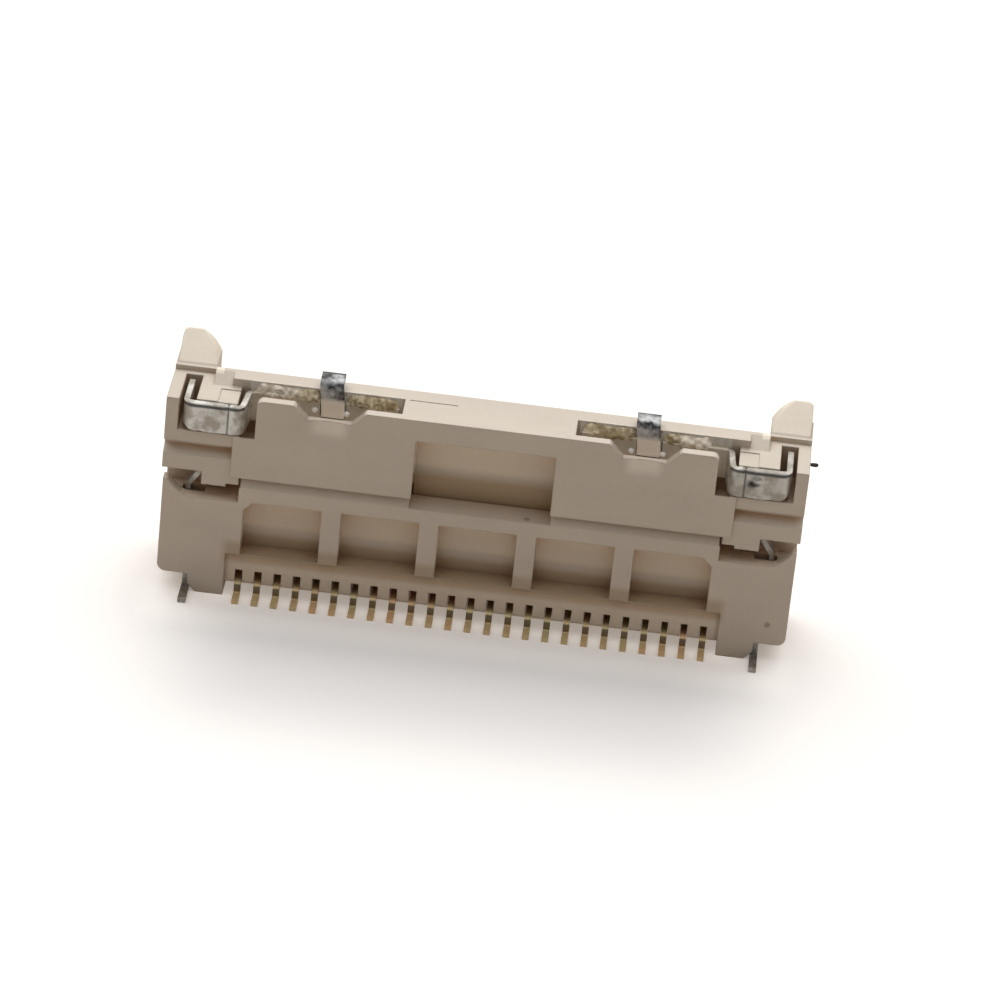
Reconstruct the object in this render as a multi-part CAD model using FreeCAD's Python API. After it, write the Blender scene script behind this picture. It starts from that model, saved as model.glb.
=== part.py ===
import FreeCAD, Part
import math
import os

# Vertical surface-mount connector for a flexible printed circuit: one row of stamped contacts,
# a moulded base, and a moulded slider that stands raised and is pushed down to clamp the flex.
# Frame: X along the contact row, Y from the front face to the back, Z up, in millimetres.
# The shapes are drawn with Y = 0 in the plane of the slider's front panel; each piece is then
# moved so that the origin is the middle of the footprint, on the board plane.

# Contact row
PITCH = 0.50
CONTACT_COUNT = 25
CONTACT_THICKNESS = 0.17
FOIL = 0.12
CONTACT_CLEARANCE = 0.01
SLOT_CLEARANCE = 0.02
ROW_HALF = (CONTACT_COUNT - 1) / 2 * PITCH

# Common outline of both mouldings
END_LENGTH = 2.10
HALF_WIDTH = ROW_HALF + END_LENGTH
BACK_Y = 2.75
TRAVEL = 0.28
GUIDE_CLEARANCE = 0.03

# Base moulding
BASE_FRONT_Y = 0.05
SHELF_SETBACK_TOP = 0.07
SHELF_SETBACK_BOTTOM = 0.16
SHELF_Z = 1.22
COMB_Z = 0.34
END_BLOCK_Z = 0.50
BASE_TOP_Z = 3.15
FOOT_INNER_X = ROW_HALF + 0.37
FOOT_OUTER_X = HALF_WIDTH - 0.80
FOOT_CHAMFER = 0.22
FOOT_LENGTH = 0.85
END_CORNER_RADIUS = 0.22
COMB_SLOT_TOP_Z = 0.72

# Pockets in the front of the base
POCKET_COUNT = 5
POCKET_PITCH = 5 * PITCH
POCKET_WALL = 0.50
POCKET_HALF = (POCKET_PITCH - POCKET_WALL) / 2
POCKET_BOTTOM_Z = SHELF_Z
POCKET_TOP_Z = BASE_TOP_Z - 0.39
POCKET_DEPTH = 0.60
POCKET_CORNER = 0.24

# Well that takes the flex and the tongue of the slider
FLEX_HALF = ROW_HALF + PITCH
FLEX_SIDE_CLEARANCE = 0.10
WELL_HALF = FLEX_HALF + FLEX_SIDE_CLEARANCE
WELL_FRONT_Y = 1.08
FLEX_GAP = 0.37
TONGUE_THICKNESS = 0.50
TONGUE_FRONT_Y = WELL_FRONT_Y + GUIDE_CLEARANCE
TONGUE_BACK_Y = TONGUE_FRONT_Y + TONGUE_THICKNESS
BACK_WALL_FRONT_Y = TONGUE_FRONT_Y - 0.01
BACK_WALL_BACK_Y = TONGUE_BACK_Y + GUIDE_CLEARANCE
WELL_BACK_Y = BACK_WALL_BACK_Y + FLEX_GAP
WELL_FLOOR_Z = 1.10

# Recess at each end of the base top
RECESS_INNER_X = ROW_HALF + 0.15
RECESS_OUTER_X = HALF_WIDTH - 0.62
RECESS_FLOOR_Z = BASE_TOP_Z - 0.42
RECESS_BACK_Y = WELL_FRONT_Y - 0.13
LIP_X = HALF_WIDTH - 0.12
LIP_Z = BASE_TOP_Z + 0.03
RAMP_HOLLOW = 0.04
RAMP_BACK_Y = 0.36

# Slider moulding
RAISE_GAP = 0.30
SLIDER_BOTTOM_Z = BASE_TOP_Z + RAISE_GAP
PANEL_THICKNESS = 0.27
PANEL_HALF = ROW_HALF - 0.15
PANEL_HEIGHT = 2.24
PANEL_TOP_Z = SLIDER_BOTTOM_Z + PANEL_HEIGHT
PANEL_CORNER = 0.16
SHOULDER_LENGTH = 0.55
SHOULDER_HEIGHT = 1.17
SHOULDER_HALF = PANEL_HALF + SHOULDER_LENGTH
SHOULDER_Z = SLIDER_BOTTOM_Z + SHOULDER_HEIGHT
SLOT_FLOOR_Z = SHOULDER_Z - 0.02
WINDOW_HALF = 1.78
BRIDGE_HALF = WINDOW_HALF + 0.42
HOLLOW_HEIGHT = 0.60
BRIDGE_HEIGHT = 0.58
PIT_DEPTH = 0.38
PIT_SLOPE_LENGTH = 0.70
WINDOW_TOP_Z = PANEL_TOP_Z - BRIDGE_HEIGHT
WINDOW_DEPTH = BACK_WALL_FRONT_Y - 0.23
WEB_DROP = 0.65
HOLLOW_TOP_Z = SLIDER_BOTTOM_Z + HOLLOW_HEIGHT
HOLLOW_HALF = RECESS_INNER_X
SKIRT_EDGE = 0.02
SKIRT_THICKNESS = 0.14
SKIRT_SLOPE_HEIGHT = 0.25
RIB_HEIGHT = HOLLOW_HEIGHT + RAISE_GAP - TRAVEL - 0.12
NOTCH_CENTRE_X = ROW_HALF * 2 / 3
NOTCH_TOP_HALF = 0.92
NOTCH_BOTTOM_HALF = 0.55
NOTCH_BOTTOM_Z = PANEL_TOP_Z - 0.38
SCOOP_Z = NOTCH_BOTTOM_Z - 0.45
SCOOP_DEPTH = 0.09
SEAM_START_X = 0.12 - BRIDGE_HALF
SEAM_LENGTH = 1.22
SEAM_WIDTH = 0.035

# End blocks of the slider
END_FRONT_Y = 0.08
END_BOTTOM_Z = SLIDER_BOTTOM_Z + 0.03
END_TOP_Z = PANEL_TOP_Z - 0.22
CORE_BLOCK_INNER_X = SHOULDER_HALF - 0.04
CLIP_BAY = 0.70
CORE_BLOCK_OUTER_X = HALF_WIDTH - CLIP_BAY
OUTER_WALL_X = HALF_WIDTH - 0.27
SIDE_LEDGE = 0.05
SLIDER_HALF = HALF_WIDTH + SIDE_LEDGE
BAY_BACK_Y = BACK_WALL_BACK_Y - 0.14
STEP_Y = BAY_BACK_Y + 0.19
STEP_Z = END_TOP_Z + 0.13
GROOVE_TOP_Z = SHOULDER_Z - 0.35
GROOVE_HEIGHT = 0.36
GROOVE_DEPTH = 0.26
PATCH_DEPTH = 0.02
BACK_RAMP_LENGTH = 0.44
PATCH_LENGTH = 0.50

# Legs under the end blocks
LEG_INNER_X = RECESS_INNER_X + 0.35
LEG_WIDTH = 0.63
LEG_OUTER_X = LEG_INNER_X + LEG_WIDTH
LEG_BOTTOM_Z = RECESS_FLOOR_Z + TRAVEL + 0.11
LEG_STEP_X = RECESS_INNER_X + GUIDE_CLEARANCE
LEG_STEP_Z = LEG_BOTTOM_Z + 0.09
LEG_BACK_Y = RAMP_BACK_Y + 0.04
GUIDE_INNER_X = WELL_HALF + 0.13
GUIDE_OUTER_X = GUIDE_INNER_X + 0.28
GUIDE_FRONT_Y = 0.77
GUIDE_BACK_Y = 1.40
GUIDE_BOTTOM_Z = RECESS_FLOOR_Z - 0.83
GUIDE_FLOOR_GAP = 0.12

# Tip of the tongue that wedges the flex against the contacts
TONGUE_HALF = WELL_HALF - 0.30
TONGUE_FLOOR_GAP = 0.32
TONGUE_TIP_Z = WELL_FLOOR_Z + TRAVEL + TONGUE_FLOOR_GAP
TONGUE_TIP = 0.14

# Guide posts and rear wall of the slider
POST_INNER_X = WELL_HALF + 0.49
POST_FRONT_Y = STEP_Y + 0.11
POST_HEIGHT = 0.57
POST_SLOPE = 0.90
POST_TOP_Z = STEP_Z + POST_HEIGHT
POST_LEAD_LENGTH = 0.52
POST_LEAD_BULGE = 0.05
POST_CORNER = 0.15
REAR_WALL_DROP = 0.77
REAR_WALL_TOP_Z = PANEL_TOP_Z - REAR_WALL_DROP
REAR_LEAD_IN = 0.22

# Sheet-metal clips
CLIP_SHEET = 0.15
CLIP_BOTTOM_Z = SHOULDER_Z + 0.03
CLIP_TOP_Z = END_TOP_Z - 0.06
CLIP_ARM_X = HALF_WIDTH - 0.45
CLIP_ARM_BACK_Y = BAY_BACK_Y - 0.16
CLIP_SHIFT_X = ROW_HALF + 0.24
CLIP_END_X = BRIDGE_HALF + 0.12
CLIP_BEND = 0.19
STRIP_TOP_Z = END_TOP_Z - 0.02
TAB_HALF = 0.30
TAB_RELIEF = 0.07
TAB_ROOT_Z = STRIP_TOP_Z - 0.45
TAB_REACH_Y = BACK_WALL_BACK_Y - 0.14
TAB_GAP = 0.16
TAB_BEND = 0.12

# Hold-downs
HOLD_THICKNESS = 0.20
HOLD_CENTRE_X = HALF_WIDTH - 0.76
HOLD_FOOT_Y = -0.62
HOLD_FOIL = 0.15
HOLD_RISER_Y = BASE_FRONT_Y + 0.13
HOLD_PLATE_BACK_Y = 1.15
HOLD_PLATE_TOP_Z = RECESS_FLOOR_Z - 0.53
HOLD_FINGER_TIP_Z = END_BOTTOM_Z - 0.08
HOLD_FINGER_Y = LEG_BACK_Y + 0.04
HOLD_FINGER_WIDTH = 0.26
HOLD_FINGER_LEAN = 0.16
HOLD_FINGER_FOIL = 0.13
HOLD_BEND = 0.105

# Contact path
TOE_Y = -0.37
RISER_Y = BASE_FRONT_Y + 0.06
RUN_Z = COMB_Z
CONTACT_BEND = 0.084
FIXED_ARM_FRONT_Y = WELL_FRONT_Y - 0.28
FIXED_ARM_BACK_Y = WELL_FRONT_Y - 0.08
FIXED_ARM_TOP_Z = 1.90
SPRING_ROOT_FRONT_Y = WELL_BACK_Y + 0.16
SPRING_ROOT_BACK_Y = WELL_BACK_Y + 0.40
SPRING_SLOT_BACK_Y = SPRING_ROOT_BACK_Y + 0.06
SPRING_TIP_Z = BASE_TOP_Z - 0.19
CREST_Y = WELL_BACK_Y - 0.06
CREST_Z = SPRING_TIP_Z - 0.34

# Middle of the footprint, from the tip of the hold-down feet to the back of the mouldings
FOOTPRINT_MIDDLE_Y = (HOLD_FOOT_Y + BACK_Y) / 2


def box(x_pair, y_pair, z_pair):
    """Upright block between two X, two Y and two Z values."""
    corner = FreeCAD.Vector(x_pair[0], y_pair[0], z_pair[0])
    return Part.makeBox(x_pair[1] - x_pair[0], y_pair[1] - y_pair[0], z_pair[1] - z_pair[0], corner)


def both_ends(shape):
    """The shape and its mirror image at the other end of the row."""
    return [shape, mirrored(shape)]


def mirrored(shape):
    """Mirror image across the middle plane of the row."""
    return shape.mirror(FreeCAD.Vector(0, 0, 0), FreeCAD.Vector(1, 0, 0))


def prism_along_x(outline, x_pair):
    """Solid with a (Y, Z) outline, run between two X values."""
    points = [FreeCAD.Vector(x_pair[0], y, z) for y, z in outline]
    face = Part.Face(Part.makePolygon(points + points[:1]))
    return face.extrude(FreeCAD.Vector(x_pair[1] - x_pair[0], 0, 0))


def prism_along_y(outline, y_pair):
    """Solid with an (X, Z) outline, run between two Y values."""
    points = [FreeCAD.Vector(x, y_pair[0], z) for x, z in outline]
    face = Part.Face(Part.makePolygon(points + points[:1]))
    return face.extrude(FreeCAD.Vector(0, y_pair[1] - y_pair[0], 0))


def bent_outline(path, radius, thickness, place):
    """Face of a strip of even thickness that follows a path of corners.

    Each inner corner becomes a pair of arcs about one centre; place turns the two path
    coordinates into a point in space."""
    sides = {1: [], -1: []}
    last = {1: None, -1: None}

    def line_to(side, point):
        if last[side] is not None:
            sides[side].append(Part.makeLine(place(last[side]), place(point)))
        last[side] = point

    def unit(a, b):
        length = math.hypot(b[0] - a[0], b[1] - a[1])
        return ((b[0] - a[0]) / length, (b[1] - a[1]) / length)

    def beside(point, direction, side):
        half = side * thickness / 2
        return (point[0] - direction[1] * half, point[1] + direction[0] * half)

    start = unit(path[0], path[1])
    for side in sides:
        line_to(side, beside(path[0], start, side))
    for before, corner, after in zip(path, path[1:], path[2:]):
        d_in = unit(before, corner)
        d_out = unit(corner, after)
        cross = d_in[0] * d_out[1] - d_in[1] * d_out[0]
        turn = math.atan2(cross, d_in[0] * d_out[0] + d_in[1] * d_out[1])
        hand = math.copysign(1, turn)
        reach = radius * math.tan(abs(turn) / 2)
        first = (corner[0] - d_in[0] * reach, corner[1] - d_in[1] * reach)
        second = (corner[0] + d_out[0] * reach, corner[1] + d_out[1] * reach)
        centre = (first[0] - d_in[1] * hand * radius, first[1] + d_in[0] * hand * radius)
        middle = unit(centre, corner)
        for side in sides:
            line_to(side, beside(first, d_in, side))
            bend = radius - side * hand * thickness / 2
            top = (centre[0] + middle[0] * bend, centre[1] + middle[1] * bend)
            end = beside(second, d_out, side)
            sides[side].append(Part.Arc(place(last[side]), place(top), place(end)).toShape())
            last[side] = end
    final = unit(path[-2], path[-1])
    for side in sides:
        line_to(side, beside(path[-1], final, side))
    caps = [Part.makeLine(sides[1][0].Vertexes[0].Point, sides[-1][0].Vertexes[0].Point),
            Part.makeLine(place(last[1]), place(last[-1]))]
    edges = Part.__sortEdges__(sides[1] + sides[-1] + caps)
    return Part.Face(Part.Wire(edges))


def rounded_block(x_pair, y_pair, z_pair, radius):
    """Block with the lower outer edge, along Y, rounded."""
    block = box(x_pair, y_pair, z_pair)
    edges = [e for e in block.Edges
             if abs(e.CenterOfMass.x - x_pair[1]) < radius / 2
             and abs(e.CenterOfMass.z - z_pair[0]) < radius / 2]
    return block.makeFillet(radius, edges)


def contact_positions():
    """X of each contact, from the left end of the row."""
    return [i * PITCH - ROW_HALF for i in range(CONTACT_COUNT)]


def base_end():
    """Right end of the base: block with rounded foot edge, two stand-offs and sloped lip."""
    block = rounded_block((FOOT_INNER_X, HALF_WIDTH), (BASE_FRONT_Y, BACK_Y),
                          (END_BLOCK_Z, BASE_TOP_Z), END_CORNER_RADIUS)
    lip = recess_ramp()
    foot_outline = [(FOOT_INNER_X, 0), (FOOT_OUTER_X - FOOT_CHAMFER, 0),
                    (FOOT_OUTER_X, FOOT_CHAMFER), (FOOT_OUTER_X, END_BLOCK_Z),
                    (FOOT_INNER_X, END_BLOCK_Z)]
    front_foot = prism_along_y(foot_outline, (BASE_FRONT_Y, BASE_FRONT_Y + FOOT_LENGTH))
    back_foot = prism_along_y(foot_outline, (BACK_Y - FOOT_LENGTH, BACK_Y))
    recess = box((RECESS_INNER_X, HALF_WIDTH), (BASE_FRONT_Y, RECESS_BACK_Y),
                 (RECESS_FLOOR_Z, BASE_TOP_Z))
    return block, lip, [front_foot, back_foot], recess


def recess_ramp():
    """Hollow curved ramp that rises from the recess floor to the lip at the outer end."""
    def place(x, z):
        return FreeCAD.Vector(x, BASE_FRONT_Y, z)

    low = place(RECESS_OUTER_X, RECESS_FLOOR_Z)
    high = place(LIP_X, LIP_Z)
    middle = place((RECESS_OUTER_X + LIP_X) / 2 + RAMP_HOLLOW, (RECESS_FLOOR_Z + LIP_Z) / 2 - RAMP_HOLLOW)
    edges = [Part.Arc(low, middle, high).toShape(), Part.makeLine(high, place(HALF_WIDTH, LIP_Z)),
             Part.makeLine(place(HALF_WIDTH, LIP_Z), place(HALF_WIDTH, RECESS_FLOOR_Z)),
             Part.makeLine(place(HALF_WIDTH, RECESS_FLOOR_Z), low)]
    return Part.Face(Part.Wire(edges)).extrude(FreeCAD.Vector(0, RAMP_BACK_Y - BASE_FRONT_Y, 0))


def base_pockets():
    """Five pockets in the front wall; the outer top corner of the end ones is cut across."""
    pockets = []
    for i in range(POCKET_COUNT):
        place = i - (POCKET_COUNT - 1) / 2
        centre = place * POCKET_PITCH
        left_cut = POCKET_CORNER if place == -(POCKET_COUNT - 1) / 2 else 0
        right_cut = POCKET_CORNER if place == (POCKET_COUNT - 1) / 2 else 0
        outline = [(centre - POCKET_HALF, POCKET_BOTTOM_Z), (centre + POCKET_HALF, POCKET_BOTTOM_Z)]
        outline += corner_cut((centre + POCKET_HALF, POCKET_TOP_Z), right_cut, 1)
        outline += corner_cut((centre - POCKET_HALF, POCKET_TOP_Z), left_cut, -1)
        pockets.append(prism_along_y(outline, (BASE_FRONT_Y, BASE_FRONT_Y + POCKET_DEPTH)))
    return pockets


def corner_cut(corner, cut, side):
    """One point for a square corner, two for a corner cut across."""
    if not cut:
        return [corner]
    low = (corner[0], corner[1] - cut)
    high = (corner[0] - side * cut, corner[1])
    return [low, high] if side > 0 else [high, low]


def contact_slots():
    """For each contact: a run slot open at front and bottom, and two arm slots into the well."""
    half = CONTACT_THICKNESS / 2 + CONTACT_CLEARANCE
    slots = []
    for x in contact_positions():
        span = (x - half, x + half)
        run = box(span, (BASE_FRONT_Y, SPRING_SLOT_BACK_Y), (COMB_Z, COMB_SLOT_TOP_Z))
        fixed = box(span, (FIXED_ARM_FRONT_Y - SLOT_CLEARANCE, WELL_FRONT_Y),
                    (COMB_SLOT_TOP_Z, FIXED_ARM_TOP_Z + SLOT_CLEARANCE))
        spring = box(span, (WELL_BACK_Y, SPRING_SLOT_BACK_Y), (COMB_SLOT_TOP_Z, BASE_TOP_Z))
        slots += [run, fixed, spring]
    return slots


def base_end_openings():
    """Guide pocket for the slider's leg and slot for the hold-down, right end."""
    guide = box((GUIDE_INNER_X - GUIDE_CLEARANCE, GUIDE_OUTER_X + GUIDE_CLEARANCE),
                (GUIDE_FRONT_Y - GUIDE_CLEARANCE, GUIDE_BACK_Y + GUIDE_CLEARANCE),
                (GUIDE_BOTTOM_Z - TRAVEL - GUIDE_FLOOR_GAP, BASE_TOP_Z))
    half = HOLD_THICKNESS / 2 + SLOT_CLEARANCE
    hold = box((HOLD_CENTRE_X - half, HOLD_CENTRE_X + half),
               (HOLD_RISER_Y - SLOT_CLEARANCE, HOLD_PLATE_BACK_Y + SLOT_CLEARANCE),
               (0, HOLD_PLATE_TOP_Z + SLOT_CLEARANCE))
    reach = HOLD_FINGER_LEAN + HOLD_FINGER_FOIL
    finger = box((HOLD_CENTRE_X - reach, HOLD_CENTRE_X + reach),
                 (HOLD_FINGER_Y - SLOT_CLEARANCE, HOLD_FINGER_Y + HOLD_FINGER_WIDTH + SLOT_CLEARANCE),
                 (HOLD_PLATE_TOP_Z, RECESS_FLOOR_Z))
    return [guide, hold, finger]


def base_ribs():
    """Rib on the base top, right of the window: sloped front under the skirt, inside the hollow."""
    front = SKIRT_THICKNESS + GUIDE_CLEARANCE
    back = WINDOW_DEPTH - GUIDE_CLEARANCE
    return prism_along_x([(BASE_FRONT_Y, BASE_TOP_Z), (front, BASE_TOP_Z + SKIRT_SLOPE_HEIGHT),
                          (front, BASE_TOP_Z + RIB_HEIGHT), (back, BASE_TOP_Z + RIB_HEIGHT),
                          (back, BASE_TOP_Z)],
                         (WINDOW_HALF + GUIDE_CLEARANCE, HOLLOW_HALF - GUIDE_CLEARANCE))


def make_base():
    """Base moulding."""
    upper = box((-FOOT_INNER_X, FOOT_INNER_X), (BASE_FRONT_Y, BACK_Y), (SHELF_Z, BASE_TOP_Z))
    lower = prism_along_x([(BASE_FRONT_Y + SHELF_SETBACK_TOP, SHELF_Z), (BACK_Y, SHELF_Z),
                           (BACK_Y, COMB_Z), (BASE_FRONT_Y + SHELF_SETBACK_BOTTOM, COMB_Z)],
                          (-FOOT_INNER_X, FOOT_INNER_X))
    block, lip, feet, recess = base_end()
    solids = [lower] + both_ends(block)
    for foot in feet:
        solids += both_ends(foot)
    body = upper.fuse(solids)
    cuts = both_ends(recess) + base_pockets() + contact_slots()
    for opening in base_end_openings():
        cuts += both_ends(opening)
    cuts.append(box((-WELL_HALF, WELL_HALF), (WELL_FRONT_Y, WELL_BACK_Y), (WELL_FLOOR_Z, BASE_TOP_Z)))
    cuts.append(box((-WINDOW_HALF - GUIDE_CLEARANCE, WINDOW_HALF + GUIDE_CLEARANCE),
                    (WINDOW_DEPTH - GUIDE_CLEARANCE, WELL_FRONT_Y),
                    (BASE_TOP_Z - WEB_DROP - TRAVEL - GUIDE_FLOOR_GAP, BASE_TOP_Z)))
    body = body.cut(cuts).fuse(both_ends(lip) + both_ends(base_ribs()))
    return body.removeSplitter()


def panel_outline():
    """Front panel outline with a trapezoid notch on each side of the bridge."""
    right = [(PANEL_HALF, SLIDER_BOTTOM_Z), (PANEL_HALF, PANEL_TOP_Z),
             (NOTCH_CENTRE_X + NOTCH_TOP_HALF, PANEL_TOP_Z),
             (NOTCH_CENTRE_X + NOTCH_BOTTOM_HALF, NOTCH_BOTTOM_Z),
             (NOTCH_CENTRE_X - NOTCH_BOTTOM_HALF, NOTCH_BOTTOM_Z),
             (NOTCH_CENTRE_X - NOTCH_TOP_HALF, PANEL_TOP_Z)]
    left = [(-x, z) for x, z in reversed(right)]
    return right + left


def make_panel():
    """Front panel with rounded top corners and a scoop below each notch."""
    panel = prism_along_y(panel_outline(), (0, PANEL_THICKNESS))
    corners = [e for e in panel.Edges
               if abs(abs(e.CenterOfMass.x) - PANEL_HALF) < PANEL_CORNER / 2
               and abs(e.CenterOfMass.z - PANEL_TOP_Z) < PANEL_CORNER / 2
               and abs(e.CenterOfMass.y - PANEL_THICKNESS / 2) < PANEL_CORNER / 2]
    panel = panel.makeFillet(PANEL_CORNER, corners)
    return panel.cut(both_ends(notch_scoop()))


def notch_scoop():
    """Shallow scoop below a notch: a wide tilted cylinder that runs out at its lower end."""
    radius = (NOTCH_BOTTOM_HALF ** 2 + SCOOP_DEPTH ** 2) / (2 * SCOOP_DEPTH)
    rise = NOTCH_BOTTOM_Z - SCOOP_Z
    foot = FreeCAD.Vector(NOTCH_CENTRE_X, -radius, SCOOP_Z)
    return Part.makeCylinder(radius, 2 * rise, foot, FreeCAD.Vector(0, SCOOP_DEPTH, rise))


def end_block():
    """Right end block of the slider with the bay for the clip, groove, legs and guide post."""
    low = box((SHOULDER_HALF - CLIP_SHEET, SLIDER_HALF), (END_FRONT_Y, BACK_Y), (END_BOTTOM_Z, SLOT_FLOOR_Z))
    core = box((CORE_BLOCK_INNER_X, CORE_BLOCK_OUTER_X),
               (CLIP_SHEET + SLOT_CLEARANCE, BAY_BACK_Y), (SLOT_FLOOR_Z, END_TOP_Z))
    patch = box((CORE_BLOCK_INNER_X, CORE_BLOCK_INNER_X + PATCH_LENGTH),
                (CLIP_SHEET, BAY_BACK_Y / 2 + CLIP_SHEET), (END_TOP_Z - PATCH_DEPTH, END_TOP_Z))
    wall = box((OUTER_WALL_X, SLIDER_HALF), (END_FRONT_Y, BAY_BACK_Y), (SLOT_FLOOR_Z, END_TOP_Z))
    rear = box((POST_INNER_X, SLIDER_HALF), (BAY_BACK_Y, BACK_Y), (SLOT_FLOOR_Z, END_TOP_Z))
    step = box((POST_INNER_X, SLIDER_HALF), (STEP_Y, BACK_Y), (END_TOP_Z, STEP_Z))
    cheek = box((WELL_HALF, POST_INNER_X), (BAY_BACK_Y, BACK_Y), (SLOT_FLOOR_Z, REAR_WALL_TOP_Z))
    cheek_front = prism_along_x([(BAY_BACK_Y - BACK_RAMP_LENGTH, END_TOP_Z), (BAY_BACK_Y, PANEL_TOP_Z),
                                 (BACK_WALL_BACK_Y, PANEL_TOP_Z), (BACK_WALL_BACK_Y, SLOT_FLOOR_Z),
                                 (BAY_BACK_Y - BACK_RAMP_LENGTH, SLOT_FLOOR_Z)],
                                (CORE_BLOCK_INNER_X, POST_INNER_X))
    leg = box((LEG_INNER_X, LEG_OUTER_X), (END_FRONT_Y, LEG_BACK_Y), (LEG_BOTTOM_Z, END_BOTTOM_Z))
    leg_step = box((LEG_STEP_X, LEG_INNER_X), (END_FRONT_Y, LEG_BACK_Y), (LEG_STEP_Z, END_BOTTOM_Z))
    guide = box((GUIDE_INNER_X, GUIDE_OUTER_X), (GUIDE_FRONT_Y, GUIDE_BACK_Y),
                (GUIDE_BOTTOM_Z, END_BOTTOM_Z))
    groove = prism_along_x([(END_FRONT_Y, GROOVE_TOP_Z), (END_FRONT_Y + GROOVE_DEPTH, GROOVE_TOP_Z),
                            (END_FRONT_Y + GROOVE_DEPTH, GROOVE_TOP_Z - GROOVE_HEIGHT / 2),
                            (END_FRONT_Y, GROOVE_TOP_Z - GROOVE_HEIGHT)], (SHOULDER_HALF, SLIDER_HALF))
    reach = HOLD_FINGER_LEAN + HOLD_FINGER_FOIL
    relief = box((HOLD_CENTRE_X - reach, HOLD_CENTRE_X + reach),
                 (HOLD_FINGER_Y - SLOT_CLEARANCE, HOLD_FINGER_Y + HOLD_FINGER_WIDTH + SLOT_CLEARANCE),
                 (END_BOTTOM_Z, END_BOTTOM_Z + TRAVEL))
    solids = [core.cut(patch), wall, rear, step, cheek, cheek_front, guide_post(), leg, leg_step, guide]
    return low.fuse(solids).cut([groove, relief])


def guide_post():
    """Post with its front face sloped back and a curved inner side that leads the flex in."""
    top = (HALF_WIDTH - POST_CORNER, POST_TOP_Z)
    lead_top = (POST_INNER_X + POST_LEAD_LENGTH, POST_TOP_Z)
    lead_low = (POST_INNER_X, STEP_Z)
    lead_middle = (POST_INNER_X + POST_LEAD_LENGTH / 2 - POST_LEAD_BULGE,
                   STEP_Z + POST_HEIGHT / 2 + POST_LEAD_BULGE)
    corner = POST_CORNER * math.sin(math.pi / 4)

    def place(point):
        return FreeCAD.Vector(point[0], POST_FRONT_Y, point[1])

    edges = [Part.Arc(place(lead_low), place(lead_middle), place(lead_top)).toShape(),
             Part.makeLine(place(lead_top), place(top)),
             Part.Arc(place(top), place((top[0] + corner, POST_TOP_Z - POST_CORNER + corner)),
                      place((HALF_WIDTH, POST_TOP_Z - POST_CORNER))).toShape(),
             Part.makeLine(place((HALF_WIDTH, POST_TOP_Z - POST_CORNER)), place((HALF_WIDTH, STEP_Z))),
             Part.makeLine(place((HALF_WIDTH, STEP_Z)), place(lead_low))]
    profile = Part.Face(Part.Wire(edges)).extrude(FreeCAD.Vector(0, BACK_Y - POST_FRONT_Y, 0))
    slope = prism_along_x([(POST_FRONT_Y, STEP_Z), (POST_FRONT_Y + POST_SLOPE, POST_TOP_Z),
                           (POST_FRONT_Y, POST_TOP_Z)], (POST_INNER_X, HALF_WIDTH))
    return profile.cut(slope)


def rear_wall():
    """Wall behind the flex with a sloped lead-in along its top."""
    return prism_along_x([(WELL_BACK_Y, SLIDER_BOTTOM_Z), (BACK_Y, SLIDER_BOTTOM_Z),
                          (BACK_Y, REAR_WALL_TOP_Z), (WELL_BACK_Y + REAR_LEAD_IN, REAR_WALL_TOP_Z),
                          (WELL_BACK_Y, REAR_WALL_TOP_Z - REAR_LEAD_IN)], (-WELL_HALF, WELL_HALF))


def tongue():
    """Wedge plate under the back wall that goes down into the well of the base."""
    return prism_along_x([(TONGUE_FRONT_Y, SLIDER_BOTTOM_Z), (TONGUE_BACK_Y, SLIDER_BOTTOM_Z),
                          (TONGUE_BACK_Y, TONGUE_TIP_Z + 3 * TONGUE_TIP),
                          (TONGUE_BACK_Y - TONGUE_TIP, TONGUE_TIP_Z),
                          (TONGUE_FRONT_Y + TONGUE_TIP, TONGUE_TIP_Z),
                          (TONGUE_FRONT_Y, TONGUE_TIP_Z + TONGUE_TIP)], (-TONGUE_HALF, TONGUE_HALF))


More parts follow.
